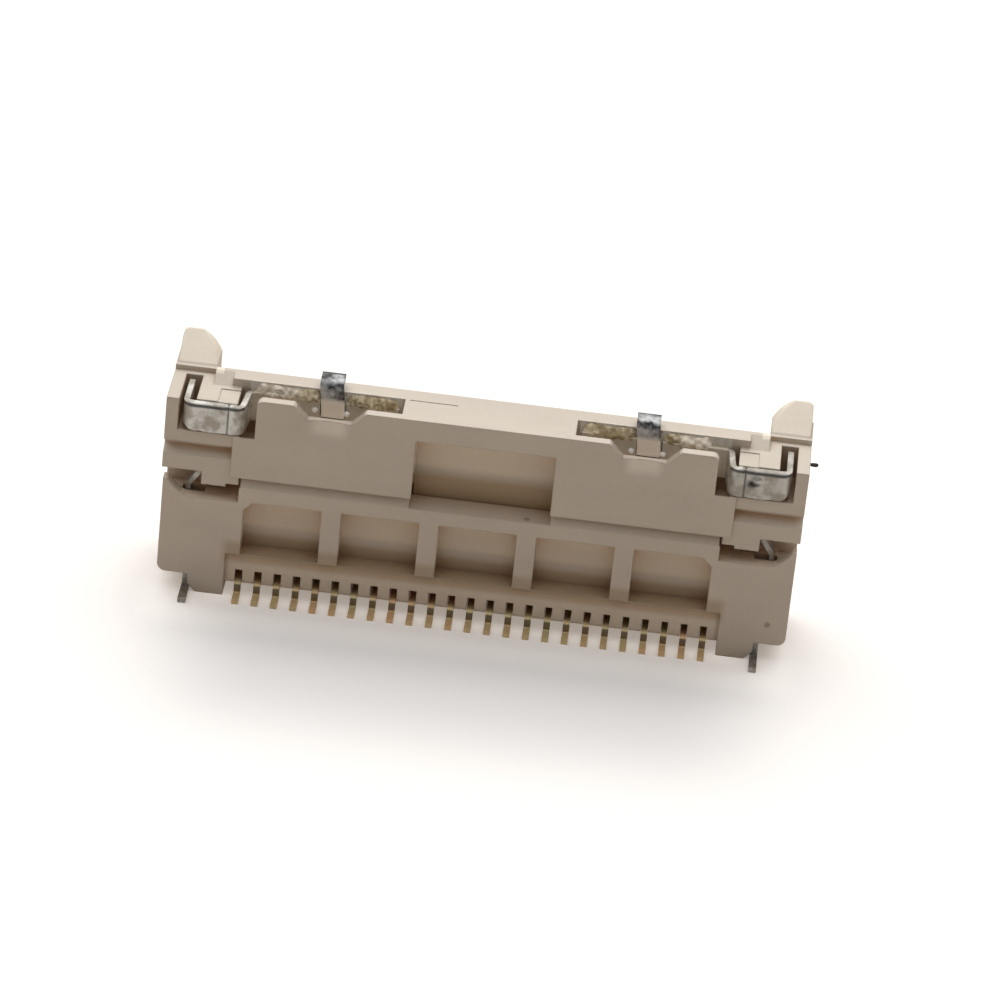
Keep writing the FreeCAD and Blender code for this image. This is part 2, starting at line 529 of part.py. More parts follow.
def make_slider():
    """Slider moulding."""
    core = box((-PANEL_HALF, PANEL_HALF), (0, BACK_WALL_BACK_Y), (SLIDER_BOTTOM_Z, SLOT_FLOOR_Z))
    shoulders = box((-SHOULDER_HALF, SHOULDER_HALF), (0, BACK_WALL_BACK_Y), (SLIDER_BOTTOM_Z, SHOULDER_Z))
    pit = prism_along_x([(0, SHOULDER_Z), (PIT_SLOPE_LENGTH, SHOULDER_Z - PIT_DEPTH),
                         (BACK_WALL_FRONT_Y, SHOULDER_Z - PIT_DEPTH), (BACK_WALL_FRONT_Y, SHOULDER_Z)],
                        (PANEL_HALF, SHOULDER_HALF - CLIP_SHEET))
    back_wall = box((-WELL_HALF, WELL_HALF), (BACK_WALL_FRONT_Y, BACK_WALL_BACK_Y),
                    (SLIDER_BOTTOM_Z, PANEL_TOP_Z))
    bridge = box((-BRIDGE_HALF, BRIDGE_HALF), (0, BACK_WALL_BACK_Y), (SLOT_FLOOR_Z, PANEL_TOP_Z))
    solids = [make_panel(), back_wall, bridge, tongue(), rear_wall(), shoulders]
    solids += both_ends(end_block())
    body = core.fuse(solids)
    window = box((-WINDOW_HALF, WINDOW_HALF), (0, WINDOW_DEPTH), (SLIDER_BOTTOM_Z, WINDOW_TOP_Z))
    skirt_z = SLIDER_BOTTOM_Z + SKIRT_SLOPE_HEIGHT
    hollow = prism_along_x([(SKIRT_EDGE, SLIDER_BOTTOM_Z), (SKIRT_THICKNESS, skirt_z),
                            (SKIRT_THICKNESS, HOLLOW_TOP_Z), (WINDOW_DEPTH, HOLLOW_TOP_Z),
                            (WINDOW_DEPTH, SLIDER_BOTTOM_Z)], (0, HOLLOW_HALF))
    seam = box((SEAM_START_X, SEAM_START_X + SEAM_LENGTH),
               (BACK_WALL_FRONT_Y - SEAM_WIDTH, BACK_WALL_FRONT_Y),
               (PANEL_TOP_Z - SEAM_WIDTH, PANEL_TOP_Z))
    web = box((-WINDOW_HALF, WINDOW_HALF), (WINDOW_DEPTH, TONGUE_BACK_Y),
              (BASE_TOP_Z - WEB_DROP, SLIDER_BOTTOM_Z))
    return body.cut([window, seam] + both_ends(hollow) + both_ends(pit)).fuse(web).removeSplitter()


def contact_outline():
    """Blanked contact: formed tail, run under the well, fixed arm and sprung arm with a crest."""
    def place(point):
        return FreeCAD.Vector(-CONTACT_THICKNESS / 2, point[0], point[1])

    tail = bent_outline([(TOE_Y, FOIL / 2), (RISER_Y, FOIL / 2), (RISER_Y, RUN_Z),
                         (SPRING_ROOT_FRONT_Y, RUN_Z)], CONTACT_BEND, FOIL, place)
    low = RUN_Z - FOIL / 2
    fixed = [(FIXED_ARM_FRONT_Y, low), (FIXED_ARM_BACK_Y, low), (FIXED_ARM_BACK_Y, FIXED_ARM_TOP_Z),
             (FIXED_ARM_FRONT_Y + FOIL / 2, FIXED_ARM_TOP_Z),
             (FIXED_ARM_FRONT_Y, FIXED_ARM_TOP_Z - FOIL)]
    spring = [(SPRING_ROOT_FRONT_Y - FOIL, low), (SPRING_ROOT_BACK_Y, low),
              (SPRING_ROOT_BACK_Y, (RUN_Z + SPRING_TIP_Z) / 2),
              (SPRING_ROOT_BACK_Y - FOIL / 2, SPRING_TIP_Z),
              (SPRING_ROOT_FRONT_Y, SPRING_TIP_Z), (CREST_Y, CREST_Z + FOIL / 2),
              (CREST_Y, CREST_Z - FOIL / 2), (SPRING_ROOT_FRONT_Y, CREST_Z - 2 * FOIL),
              (SPRING_ROOT_FRONT_Y, RUN_Z + FOIL)]
    return tail, fixed, spring


def make_contact(x):
    """One contact, blanked from strip and centred on x."""
    tail, fixed, spring = contact_outline()
    half = CONTACT_THICKNESS / 2
    body = tail.extrude(FreeCAD.Vector(CONTACT_THICKNESS, 0, 0))
    body = body.fuse([prism_along_x(fixed, (-half, half)), prism_along_x(spring, (-half, half))])
    body = body.removeSplitter()
    body.translate(FreeCAD.Vector(x, 0, 0))
    return body


def make_hold_down():
    """Right hold-down: formed foot, plate pressed into the end block and a leaning sprung finger."""
    start = HOLD_CENTRE_X - HOLD_THICKNESS / 2

    def place(point):
        return FreeCAD.Vector(start, point[0], point[1])

    def place_finger(point):
        return FreeCAD.Vector(point[0], HOLD_FINGER_Y, point[1])

    riser = HOLD_RISER_Y + HOLD_FOIL / 2
    foot = bent_outline([(HOLD_FOOT_Y, HOLD_FOIL / 2), (riser, HOLD_FOIL / 2), (riser, HOLD_PLATE_TOP_Z)],
                        HOLD_BEND, HOLD_FOIL, place)
    low = END_BLOCK_Z + HOLD_FOIL
    plate = [(HOLD_RISER_Y, low), (HOLD_PLATE_BACK_Y - HOLD_FOIL, low),
             (HOLD_PLATE_BACK_Y, low + HOLD_FOIL), (HOLD_PLATE_BACK_Y, HOLD_PLATE_TOP_Z),
             (HOLD_RISER_Y, HOLD_PLATE_TOP_Z)]
    lean = bent_outline([(HOLD_CENTRE_X, HOLD_PLATE_TOP_Z - HOLD_FOIL),
                         (HOLD_CENTRE_X + HOLD_FINGER_LEAN, RECESS_FLOOR_Z + HOLD_FINGER_FOIL),
                         (HOLD_CENTRE_X - HOLD_FINGER_LEAN, HOLD_FINGER_TIP_Z - HOLD_FINGER_FOIL / 2)],
                        HOLD_FINGER_FOIL, HOLD_FINGER_FOIL, place_finger)
    body = foot.extrude(FreeCAD.Vector(HOLD_THICKNESS, 0, 0))
    finger = lean.extrude(FreeCAD.Vector(0, HOLD_FINGER_WIDTH, 0))
    return body.fuse([prism_along_x(plate, (start, start + HOLD_THICKNESS)), finger]).removeSplitter()


def make_clip():
    """Right clip: arm, front plate, shift back into the top slot, strip and hooked tab."""
    plate_y = CLIP_SHEET / 2
    strip_y = BACK_WALL_FRONT_Y - SLOT_CLEARANCE - CLIP_SHEET / 2
    path = [(CLIP_ARM_X, CLIP_ARM_BACK_Y), (CLIP_ARM_X, plate_y), (CLIP_SHIFT_X, plate_y),
            (CLIP_SHIFT_X - CLIP_BEND / 2, strip_y), (CLIP_END_X, strip_y)]
    outline = bent_outline(path, CLIP_BEND, CLIP_SHEET,
                           lambda point: FreeCAD.Vector(point[0], point[1], CLIP_BOTTOM_Z))
    band = outline.extrude(FreeCAD.Vector(0, 0, STRIP_TOP_Z - CLIP_BOTTOM_Z))
    trim = box((CLIP_SHIFT_X - CLIP_BEND, HALF_WIDTH), (-CLIP_SHEET, strip_y - CLIP_SHEET),
               (CLIP_TOP_Z, STRIP_TOP_Z))
    arm_trim = box((CLIP_ARM_X - CLIP_SHEET, HALF_WIDTH), (-CLIP_SHEET, CLIP_ARM_BACK_Y),
                   (CLIP_TOP_Z, STRIP_TOP_Z))
    corner = prism_along_y([(CLIP_ARM_X + CLIP_SHEET, CLIP_BOTTOM_Z),
                            (CLIP_ARM_X + CLIP_SHEET, CLIP_BOTTOM_Z + CLIP_SHEET),
                            (CLIP_ARM_X - CLIP_SHEET, CLIP_BOTTOM_Z)],
                           (-CLIP_SHEET, CLIP_BEND + CLIP_SHEET))
    reliefs = [box((NOTCH_CENTRE_X + side * (TAB_HALF + TAB_RELIEF / 2) - TAB_RELIEF / 2,
                    NOTCH_CENTRE_X + side * (TAB_HALF + TAB_RELIEF / 2) + TAB_RELIEF / 2),
                   (strip_y - CLIP_SHEET, strip_y + CLIP_SHEET), (TAB_ROOT_Z, STRIP_TOP_Z))
               for side in (-1, 1)]
    tab_z = PANEL_TOP_Z + TAB_GAP + CLIP_SHEET / 2
    tab = bent_outline([(strip_y, TAB_ROOT_Z), (strip_y, tab_z), (TAB_REACH_Y, tab_z)],
                       TAB_BEND, CLIP_SHEET,
                       lambda point: FreeCAD.Vector(NOTCH_CENTRE_X - TAB_HALF, point[0], point[1]))
    tab = tab.extrude(FreeCAD.Vector(2 * TAB_HALF, 0, 0))
    return band.cut([trim, arm_trim, corner] + reliefs).fuse(tab).removeSplitter()


def write(name, shape):
    """Write one piece, moved to the footprint's middle; every piece is a single valid solid."""
    if len(shape.Solids) != 1 or not shape.isValid():
        raise ValueError(name + " is not one valid solid")
    solid = shape.Solids[0]
    solid.translate(FreeCAD.Vector(0, -FOOTPRINT_MIDDLE_Y, 0))
    solid.exportStep(os.path.join("parts", name + ".step"))


def main():
    """Build and write every piece."""
    os.makedirs("parts", exist_ok=True)
    write("base_housing", make_base())
    write("slider", make_slider())
    for i, x in enumerate(contact_positions()):
        write("contact_%02d" % (i + 1), make_contact(x))
    write("right_hold_down", make_hold_down())
    write("left_hold_down", mirrored(make_hold_down()))
    write("right_clip", make_clip())
    write("left_clip", mirrored(make_clip()))


main()
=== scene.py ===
import math

import bpy
import numpy as np
from mathutils import Matrix, Vector


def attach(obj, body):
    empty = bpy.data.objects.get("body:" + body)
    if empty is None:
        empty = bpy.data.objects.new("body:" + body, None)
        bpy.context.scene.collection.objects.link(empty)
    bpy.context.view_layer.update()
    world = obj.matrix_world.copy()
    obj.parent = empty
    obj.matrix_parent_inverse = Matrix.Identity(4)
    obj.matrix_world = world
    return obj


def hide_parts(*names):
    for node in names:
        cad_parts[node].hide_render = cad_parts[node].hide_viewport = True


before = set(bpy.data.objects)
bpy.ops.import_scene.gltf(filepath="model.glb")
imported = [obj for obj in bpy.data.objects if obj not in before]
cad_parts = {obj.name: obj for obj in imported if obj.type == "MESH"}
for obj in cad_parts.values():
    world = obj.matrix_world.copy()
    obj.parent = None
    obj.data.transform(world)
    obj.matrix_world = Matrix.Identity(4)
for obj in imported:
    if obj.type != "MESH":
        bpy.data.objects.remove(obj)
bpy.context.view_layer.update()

bl_info = {
    "name": "Flex circuit connector looks",
    "version": (1, 0, 0),
    "blender": (4, 5, 0),
    "location": "3D View > Sidebar > Connector",
    "description": "Dresses the packed connector: moulded plastic, plated metal, stage and camera",
    "category": "Object",
}

# Lengths below are in millimetres, and MM turns them into metres. FRONT_Y is the slider's front
# plane; FAR lies beyond the part on every side.
MM = 0.001
FRONT_Y = -1.065
FAR = 9.0
FULL = 1.0
WHITE = (1.0, 1.0, 1.0)

CLIP_NODES = {"right": "right_clip", "left": "left_clip"}
HOLD_NODES = ("right_hold_down", "left_hold_down")

# Boxes are low corner, high corner and soft border. The first coordinate is the distance from the
# middle plane, the second counts from the slider's front plane, the third is the height.
SLOT_BOX = ((2.3, 0.30, 5.00), (6.1, 1.20, 5.66), 0.04)
SLOT_STAIN_NEAR_TAB = ((2.4, -FAR, 0.0), (4.7, FAR, FAR), 0.5)
RESIDUE_NEAR_TAB = ((2.2, -FAR, 0.0), (4.6, FAR, FAR), 0.5)
NO_HOLLOW_BOX = ((0.0, -FAR, 4.90), (5.9, FAR, FAR), 0.15)
# Rear edge of the tabs, painted near black as shade
TAB_REAR_SHADE_BOX = ((0.0, 1.43, 5.0), (FAR, FAR, FAR), 0.05)
CLIP_SLOT_BOX = ((2.0, 0.85, 4.0), (6.02, 1.30, FAR), 0.06)
# Floor boxes: painted light near the part and under the comb, painted shadow in front of it
FLOOR_NEAR_LIGHT = ((0.0, -0.9, -1.0), (7.6, 0.5, 1.0), 1.2)
FLOOR_FRONT_SHADOW = ((0.0, -4.0, -1.0), (5.0, -1.0, 1.0), 4.5)
FLOOR_UNDER_LIGHT = ((0.0, 0.20, -1.0), (6.4, 1.5, 1.0), 0.80)

# Zones of painted light and shade are a box and the factors on the colour inside it
# Base: painted shade on the pocket floors, painted light on the shelf, pocket walls and end recess
BASE_LIGHT_AND_SHADE = {
    "pocket floors": ((0.0, 0.12, 1.10), (6.3, 0.75, 1.45), 0.25, (0.72, 0.62, 0.50)),
    "shelf": ((0.0, -FAR, 0.0), (6.25, 0.60, 1.10), 0.05, (1.18, 1.17, 1.15)),
    "pocket walls": ((0.0, 0.40, 1.90), (6.3, 0.90, 2.80), 0.20, (1.26, 1.25, 1.22)),
    "end recess": ((6.20, 0.10, 2.62), (7.60, 1.00, 2.80), 0.06, (1.35, 1.30, 1.25)),
}
# Slider: painted light on posts, scoops, grooves and window top; painted shade on window floor and
# notches
SLIDER_LIGHT_AND_SHADE = {
    "guide posts": ((6.9, -FAR, 5.66), (FAR, FAR, FAR), 0.04, (1.42, 1.44, 1.44)),
    "window floor": ((0.0, 0.30, 2.6), (1.79, 1.2, 3.65), 0.30, (0.78, 0.66, 0.50)),
    "scoops": ((3.75, -FAR, 5.12), (4.25, 0.10, 5.26), 0.30, (1.32, 1.33, 1.34)),
    "grooves": ((6.20, 0.14, 4.20), (FAR, 0.50, 4.30), 0.03, (1.45, 1.45, 1.45)),
    "window top": ((0.0, 0.35, 4.10), (1.70, 1.4, 5.10), 0.25, (1.30, 1.30, 1.28)),
    "notches": ((3.10, 0.04, 5.308), (4.90, 0.30, 5.62), 0.02, (0.58, 0.55, 0.52)),
}
# Dark specks on the base: centre, radius, depth
BASE_SPECKS = (((7.59, 0.05, 1.06), 0.10, 0.6), ((1.20, 0.25, 3.15), 0.11, 0.6))

# Factors on the plastic's own colour
TONE_LOW, TONE_HIGH = 0.94, 1.05
STAIN_TINT = (0.80, 0.74, 0.66)
SPECK_TINT = (0.30, 0.25, 0.20)
SPECK_CORE = 0.55
# Colour and reach of the painted shade in hollows
HOLLOW_SHADE_COLOUR = (0.66, 0.46, 0.29, FULL)
HOLLOW_SHADE_REACH = 0.7 * MM

# Colours of dried flux, far from the tabs and near them
# The slot stain's cream is flux made pale enough to paint light on the shaded slot wall
STAIN_CREAM_AND_LIGHT = (1.0, 0.90, 0.74)
STAIN_BROWNS = ((0.86, 0.72, 0.52), (0.56, 0.41, 0.20))
FLUX_CREAMS = ((0.92, 0.82, 0.68), (0.72, 0.60, 0.41))
FLUX_BROWNS = ((0.56, 0.47, 0.36), (0.30, 0.22, 0.10))
FLUX_NORMAL = (0.0, -0.35, 0.94)

# Colours and factors of the metals
# Tab: pale root, a dark blotched painted reflection over the bend and on top, painted shade on its
# rear edge
TAB_PALE_TINT = (1.66, 1.58, 1.50)
TAB_REFLECTION_BLOTCHES = ((0.03, 0.027, 0.026), (0.52, 0.52, 0.52))
TAB_REAR_SHADE = (0.03, 0.03, 0.03)
CLIP_BRIGHT = 1.02
CLIP_TARNISH = (0.58, 0.53, 0.45)
CLIP_RIGHT_TARNISH = (0.42, 0.39, 0.35)
CLIP_CRUSTS = ((0.52, 0.46, 0.38), (0.62, 0.54, 0.42))
# Factor of the painted shade lines on the clip plates
PRESS_LINE_SHADE = 0.12
TARNISH_TINT = (0.60, 0.54, 0.46)
TAIL_WARM, TAIL_COOL = (1.06, 0.93, 0.88), (0.92, 1.0, 0.95)
# Factor of the painted shade on the tails' riser
TAIL_RISER_SHADE = 0.17
FOOT_TINT = 0.70
# Pips near white as painted glints; the side tip dark
PIP_GLINT_COLOUR, TIP_COLOUR = (0.97, 0.96, 0.93), (0.06, 0.055, 0.05)
METAL_EDGE = 0.025 * MM
NOISE_SPAN = (0.3, 0.7)

# Heights between which a metal changes
# Between these two heights the tab turns dark, a painted reflection above them
TAB_DARK_Z = (5.43, 5.56)
CRUST_Z = (5.40, 5.43)
# Between these heights the tails' riser is painted dark as shade
RISER_LOW_Z, RISER_HIGH_Z = (0.13, 0.16), (0.33, 0.36)

# Painted shade lines on the clip plates: rim, crease, dent, and depths between which they fade out
RIM_LOW_Z, RIM_HIGH_Z = (5.30, 5.34), (5.385, 5.405)
CREASE_X = 6.56
DENT_PLACE, DENT_SPAN = (6.78, 0.08, 5.07), (0.09, 0.20)
PLATE_FRONT = (0.15, 0.22)

# Clip in plan and height, and its tab: middle along the row, height of the hook, reach of the hook
PLATE_Y, STRIP_Y = 0.075, 1.005
CLIP_PLAN = ((7.65, 1.34), (7.65, PLATE_Y), (6.24, PLATE_Y), (6.145, STRIP_Y), (2.32, STRIP_Y))
CLIP_BEND, CLIP_STEP, CLIP_ROWS = 0.19, 0.03, 41
CLIP_TOP_Z, CLIP_LOW_Z = 5.41, 4.65
CLIP_EDGE = 0.035 * MM
TABS = {1: (4.06, 5.865, 1.46), -1: (4.0, 5.925, 1.50)}
TAB_HALF, TAB_BEND, TAB_STEP, TAB_FOOT_Z = 0.30, 0.12, 0.06, 4.97
TAB_GAP_X = (0.34, 0.315, -0.315, -0.34)
TAB_GAP_HALF, TAB_GAP_Z = 0.33, 5.0
TAB_LEAN = 0.08

# Turned bodies: outlines are distance along the line and radius
PIP_OUTLINE = ((-0.02, 0.0), (-0.02, 0.08), (0.0, 0.08), (0.025, 0.074), (0.048, 0.056),
               (0.063, 0.03), (0.07, 0.0))
PIP_PLACES = ((-4.46, 0.93, 5.17), (-3.64, 0.93, 5.15), (3.62, 0.93, 5.10), (4.43, 0.93, 5.10))
TIP_OUTLINE = ((-0.06, 0.0), (-0.06, 0.05), (0.02, 0.042), (0.10, 0.052), (0.17, 0.055),
               (0.215, 0.04), (0.235, 0.0))
TIP_PLACE = (8.13, 0.80, 5.39)

# Residue: section as depth and height, how far each of its points may move out, runs along the row
RESIDUE_SECTION = ((1.125, 5.665), (1.09, 5.650), (1.04, 5.605), (0.99, 5.555), (0.95, 5.510),
                   (0.91, 5.460), (0.895, 5.400), (0.95, 5.330), (1.06, 5.300), (1.125, 5.350))
RESIDUE_REACH = (0.0, 0.02, 0.05, 0.06, 0.06, 0.06, 0.05, 0.02, 0.0, 0.0)
RESIDUE_CENTRE = (1.06, 5.45)
RESIDUE_STEP, RESIDUE_SHRINK, RESIDUE_TAPER, RESIDUE_END = 0.028, 0.01, 0.10, 0.3
RESIDUE_RUNS = ((-1, 2.34, 3.66), (-1, 4.34, 6.00), (1, 2.34, 3.70), (1, 4.40, 5.66))
RESIDUE_SEED = 4

# Camera: azimuth, elevation and roll in degrees, target height, distance, shift to right and up
CAMERA_ANGLES = (2.06, 28.0, 5.98)
CAMERA_TARGET_Z, CAMERA_DISTANCE, CAMERA_SHIFT = 3.5, 134.1, (0.50, 0.15)

# Lights: spread and turn of the sun in degrees, colours, strength of the floor's glow
LAMP_SPREAD, LAMP_TURN = 75, (-33, -7)
LAMP_COLOUR = (1.0, 0.985, 0.96)
SKY_COLOUR = (0.97, 0.98, 1.0, FULL)
# The floor's glow is warm painted light, stronger about the part and under the comb, weaker in
# front as painted shadow
GLOW_COLOUR = (1.0, 0.89, 0.78, FULL)
GLOW_FAR_NEAR, GLOW_FRONT, GLOW_UNDER = (0.20, 0.33), 0.20, 0.15
FLOOR_POINTS = 9


class MouldingFinish(bpy.types.PropertyGroup):
    """Colour and surface of the two mouldings."""
    base_colour: bpy.props.FloatVectorProperty(
        name="Base colour", description="Colour of the lower moulding", subtype="COLOR",
        size=3, min=0.0, max=1.0, default=(0.682, 0.586, 0.481))
    slider_colour: bpy.props.FloatVectorProperty(
        name="Slider colour", description="Colour of the upper moulding", subtype="COLOR",
        size=3, min=0.0, max=1.0, default=(0.664, 0.577, 0.474))
    roughness: bpy.props.FloatProperty(
        name="Roughness", description="Roughness of the moulded surface", subtype="FACTOR",
        min=0.0, max=1.0, default=0.52)
    edge_radius: bpy.props.FloatProperty(
        name="Edge radius", description="How far moulded edges are softened",
        subtype="DISTANCE", unit="LENGTH", min=0.0, default=0.055 * MM)
    # Strength of the painted shade in hollows
    hollow_shade_amount: bpy.props.FloatProperty(
        name="Painted hollow shade", description="How much deep places turn browner", subtype="FACTOR",
        min=0.0, max=1.0, default=0.85)


class MetalFinish(bpy.types.PropertyGroup):
    """Colour and surface of the plated metal."""
    tin_colour: bpy.props.FloatVectorProperty(
        name="Tin colour", description="Colour of the tin plated clips and hold-downs",
        subtype="COLOR", size=3, min=0.0, max=1.0, default=(0.60, 0.58, 0.54))
    gold_colour: bpy.props.FloatVectorProperty(
        name="Gold colour", description="Colour of the gold plated tails", subtype="COLOR",
        size=3, min=0.0, max=1.0, default=(0.80, 0.60, 0.335))
    sheet: bpy.props.FloatProperty(
        name="Sheet", description="Thickness of the clip metal", subtype="DISTANCE",
        unit="LENGTH", min=0.01 * MM, default=0.15 * MM)
    relief: bpy.props.FloatProperty(
        name="Relief", description="Depth of the creases in the clip plates",
        subtype="DISTANCE", unit="LENGTH", min=0.0, default=0.05 * MM)


class StageSettings(bpy.types.PropertyGroup):
    """Camera, lamp and floor."""
    lens: bpy.props.FloatProperty(
        name="Lens", description="Focal length of the camera in millimetres", min=10.0,
        default=190.7)
    lamp_strength: bpy.props.FloatProperty(
        name="Lamp strength", description="Strength of the soft lamp above the part", min=0.0,
        default=1.68)
    fill_strength: bpy.props.FloatProperty(
        name="Fill strength", description="Strength of the light from all round", min=0.0,
        default=0.38)
    paper_colour: bpy.props.FloatVectorProperty(
        name="Paper colour", description="Colour of the floor as it is seen", subtype="COLOR",
        size=3, min=0.0, max=1.0, default=(0.90, 0.878, 0.860))
    bounce_colour: bpy.props.FloatVectorProperty(
        name="Bounce colour",
        description="Colour of the light that the floor sends back to the part",
        subtype="COLOR", size=3, min=0.0, max=1.0, default=(0.62, 0.55, 0.48))
    floor_size: bpy.props.FloatProperty(
        name="Floor size", description="Half the width of the floor", subtype="DISTANCE",
        unit="LENGTH", min=0.01, default=1.2)


# Shader helpers

def new_material(name):
    """Empty node material with one Principled shader joined to the output."""
    material = bpy.data.materials.new(name)
    material.use_nodes = True
    tree = material.node_tree
    tree.nodes.clear()
    shader = tree.nodes.new("ShaderNodeBsdfPrincipled")
    output = tree.nodes.new("ShaderNodeOutputMaterial")
    tree.links.new(shader.outputs["BSDF"], output.inputs["Surface"])
    return material, tree, shader


def math_node(tree, operation, first, second=None, clamp=False):
    """One Math node; inputs may be numbers or sockets."""
    node = tree.nodes.new("ShaderNodeMath")
    node.operation = operation
    node.use_clamp = clamp
    for i, value in enumerate((first, second)):
        if value is None:
            continue
        if isinstance(value, (int, float)):
            node.inputs[i].default_value = value
        else:
            tree.links.new(value, node.inputs[i])
    return node.outputs[0]


def remap(tree, value, span, result=(0.0, 1.0), smooth=False):
    """Map Range node from a span to a result, straight or with soft ends."""
    node = tree.nodes.new("ShaderNodeMapRange")
    if smooth:
        node.interpolation_type = "SMOOTHSTEP"
    for name, number in zip(("From Min", "From Max", "To Min", "To Max"), (*span, *result)):
        node.inputs[name].default_value = number
    tree.links.new(value, node.inputs["Value"])
    return node.outputs["Result"]


def mix_colour(tree, share, first, second, mode="MIX"):
    """Mix node for colours; inputs may be colours or sockets."""
    node = tree.nodes.new("ShaderNodeMix")
    node.data_type = "RGBA"
    node.blend_type = mode
    for name, value in (("Factor", share), ("A", first), ("B", second)):
        socket = [s for s in node.inputs if s.name == name and s.enabled][0]
        if isinstance(value, (int, float)):
            socket.default_value = value
        elif isinstance(value, (tuple, list)):
            socket.default_value = tuple(value)[:3] + (FULL,)
        else:
            tree.links.new(value, socket)
    return [s for s in node.outputs if s.enabled][0]


def mix_vector(tree, share, first, second):
    """Mix node from a vector socket to a fixed vector."""
    node = tree.nodes.new("ShaderNodeMix")
    node.data_type = "VECTOR"
    factor, start, end = [s for s in node.inputs if s.enabled]
    tree.links.new(share, factor)
    tree.links.new(first, start)
    end.default_value = second
    return [s for s in node.outputs if s.enabled][0]


def tinted(colour, scale):
    """The colour times one number, or times one number for each channel."""
    scales = scale if isinstance(scale, tuple) else (scale,) * 3
    return tuple(c * s for c, s in zip(colour, scales))


def noise(tree, vector, scale, detail=2.0, rough=0.5):
    """Noise value at a scale counted per metre."""
    node = tree.nodes.new("ShaderNodeTexNoise")
    node.inputs["Scale"].default_value = scale
    node.inputs["Detail"].default_value = detail
    node.inputs["Roughness"].default_value = rough
    tree.links.new(vector, node.inputs["Vector"])
    return node.outputs["Fac"]


def stretched(tree, vector, scale):
    """The vector times a factor for each axis."""
    node = tree.nodes.new("ShaderNodeMapping")
    node.inputs["Scale"].default_value = scale
    tree.links.new(vector, node.inputs["Vector"])
    return node.outputs["Vector"]


def new_group(name, inputs, outputs):
    """Shader node group with named sockets."""
    group = bpy.data.node_groups.new(name, "ShaderNodeTree")
    for label, kind, default in inputs:
        socket = group.interface.new_socket(name=label, in_out="INPUT", socket_type=kind)
        if default is not None:
            socket.default_value = default
    for label, kind in outputs:
        group.interface.new_socket(name=label, in_out="OUTPUT", socket_type=kind)
    start = group.nodes.new("NodeGroupInput")
    end = group.nodes.new("NodeGroupOutput")
    return group, start, end


def place_group(tree, group, **values):
    """Put a group in a material with its own values."""
    node = tree.nodes.new("ShaderNodeGroup")
    node.node_tree = group
    for name, value in values.items():
        if isinstance(value, bpy.types.NodeSocket):
            tree.links.new(value, node.inputs[name])
        else:
            node.inputs[name].default_value = value
    return node


def moulded_group():
    """Flow marks, fine grain and faint stains of moulded plastic.

    Tone is the sum of slow noise stretched along the row and fine noise; Grain is fine noise for
    bump; Stain is slow noise cut to its top quarter."""
    group, start, end = new_group(
        "Moulded plastic",
        [("Vector", "NodeSocketVector", None), ("Strength", "NodeSocketFloat", FULL)],
        [("Tone", "NodeSocketFloat"), ("Grain", "NodeSocketFloat"), ("Stain", "NodeSocketFloat")])
    vector = start.outputs["Vector"]
    slow = noise(group, stretched(group, vector, (0.35, 1.0, 1.0)), scale=900.0, detail=3.0)
    fine = noise(group, vector, scale=9000.0)
    tone = math_node(group, "ADD", remap(group, slow, NOISE_SPAN, (-0.5, 0.5)),
                     remap(group, fine, NOISE_SPAN, (-0.2, 0.2)))
    tone = math_node(group, "MULTIPLY", tone, start.outputs["Strength"])
    grain = noise(group, vector, scale=22000.0, detail=3.0, rough=0.6)
    patches = noise(group, vector, scale=420.0, detail=4.0, rough=0.6)
    group.links.new(tone, end.inputs["Tone"])
    group.links.new(grain, end.inputs["Grain"])
    group.links.new(remap(group, patches, (0.56, 0.75)), end.inputs["Stain"])
    return group


def plated_group():
    """Mottling and rolling marks of plated sheet metal.

    Blotch is medium noise; Height adds noise drawn out in plan to it."""
    group, start, end = new_group(
        "Plated metal", [("Vector", "NodeSocketVector", None)],
        [("Blotch", "NodeSocketFloat"), ("Height", "NodeSocketFloat")])
    vector = start.outputs["Vector"]
    blotch = noise(group, vector, scale=3200.0, detail=3.0, rough=0.6)
    line = noise(group, stretched(group, vector, (0.12, 0.12, 1.0)), scale=30000.0)
    height = math_node(group, "ADD", blotch, math_node(group, "MULTIPLY", line, 0.15))
    group.links.new(blotch, end.inputs["Blotch"])
    group.links.new(height, end.inputs["Height"])
    return group


def hollow_shade_group():
    """Painted shade in hollows: occlusion over a short distance picks between a colour and white.
    """
    group, start, end = new_group(
        "Painted hollow shade",
        [("Distance", "NodeSocketFloat", HOLLOW_SHADE_REACH), ("Amount", "NodeSocketFloat", FULL),
         ("Tint", "NodeSocketColor", HOLLOW_SHADE_COLOUR)], [("Tint", "NodeSocketColor")])
    shade = group.nodes.new("ShaderNodeAmbientOcclusion")
    shade.samples = 8
    group.links.new(start.outputs["Distance"], shade.inputs["Distance"])
    closed = math_node(group, "SUBTRACT", FULL, remap(group, shade.outputs["AO"], (0.10, 0.64)))
    share = math_node(group, "MULTIPLY", closed, start.outputs["Amount"])
    tint = mix_colour(group, share, WHITE, start.outputs["Tint"])
    group.links.new(tint, end.inputs["Tint"])
    return group


def soft_edges(tree, radius):
    """Bevel node: the normal of edges rounded by the radius."""
    node = tree.nodes.new("ShaderNodeBevel")
    node.samples = 6
    node.inputs["Radius"].default_value = radius
    return node.outputs["Normal"]


def bump(tree, height, strength, distance, normal):
    """Bump node over a given normal."""
    node = tree.nodes.new("ShaderNodeBump")
    node.inputs["Strength"].default_value = strength
    node.inputs["Distance"].default_value = distance
    tree.links.new(height, node.inputs["Height"])
    tree.links.new(normal, node.inputs["Normal"])
    return node.outputs["Normal"]


def object_vector(tree):
    """Object coordinates, in metres."""
    return tree.nodes.new("ShaderNodeTexCoord").outputs["Object"]


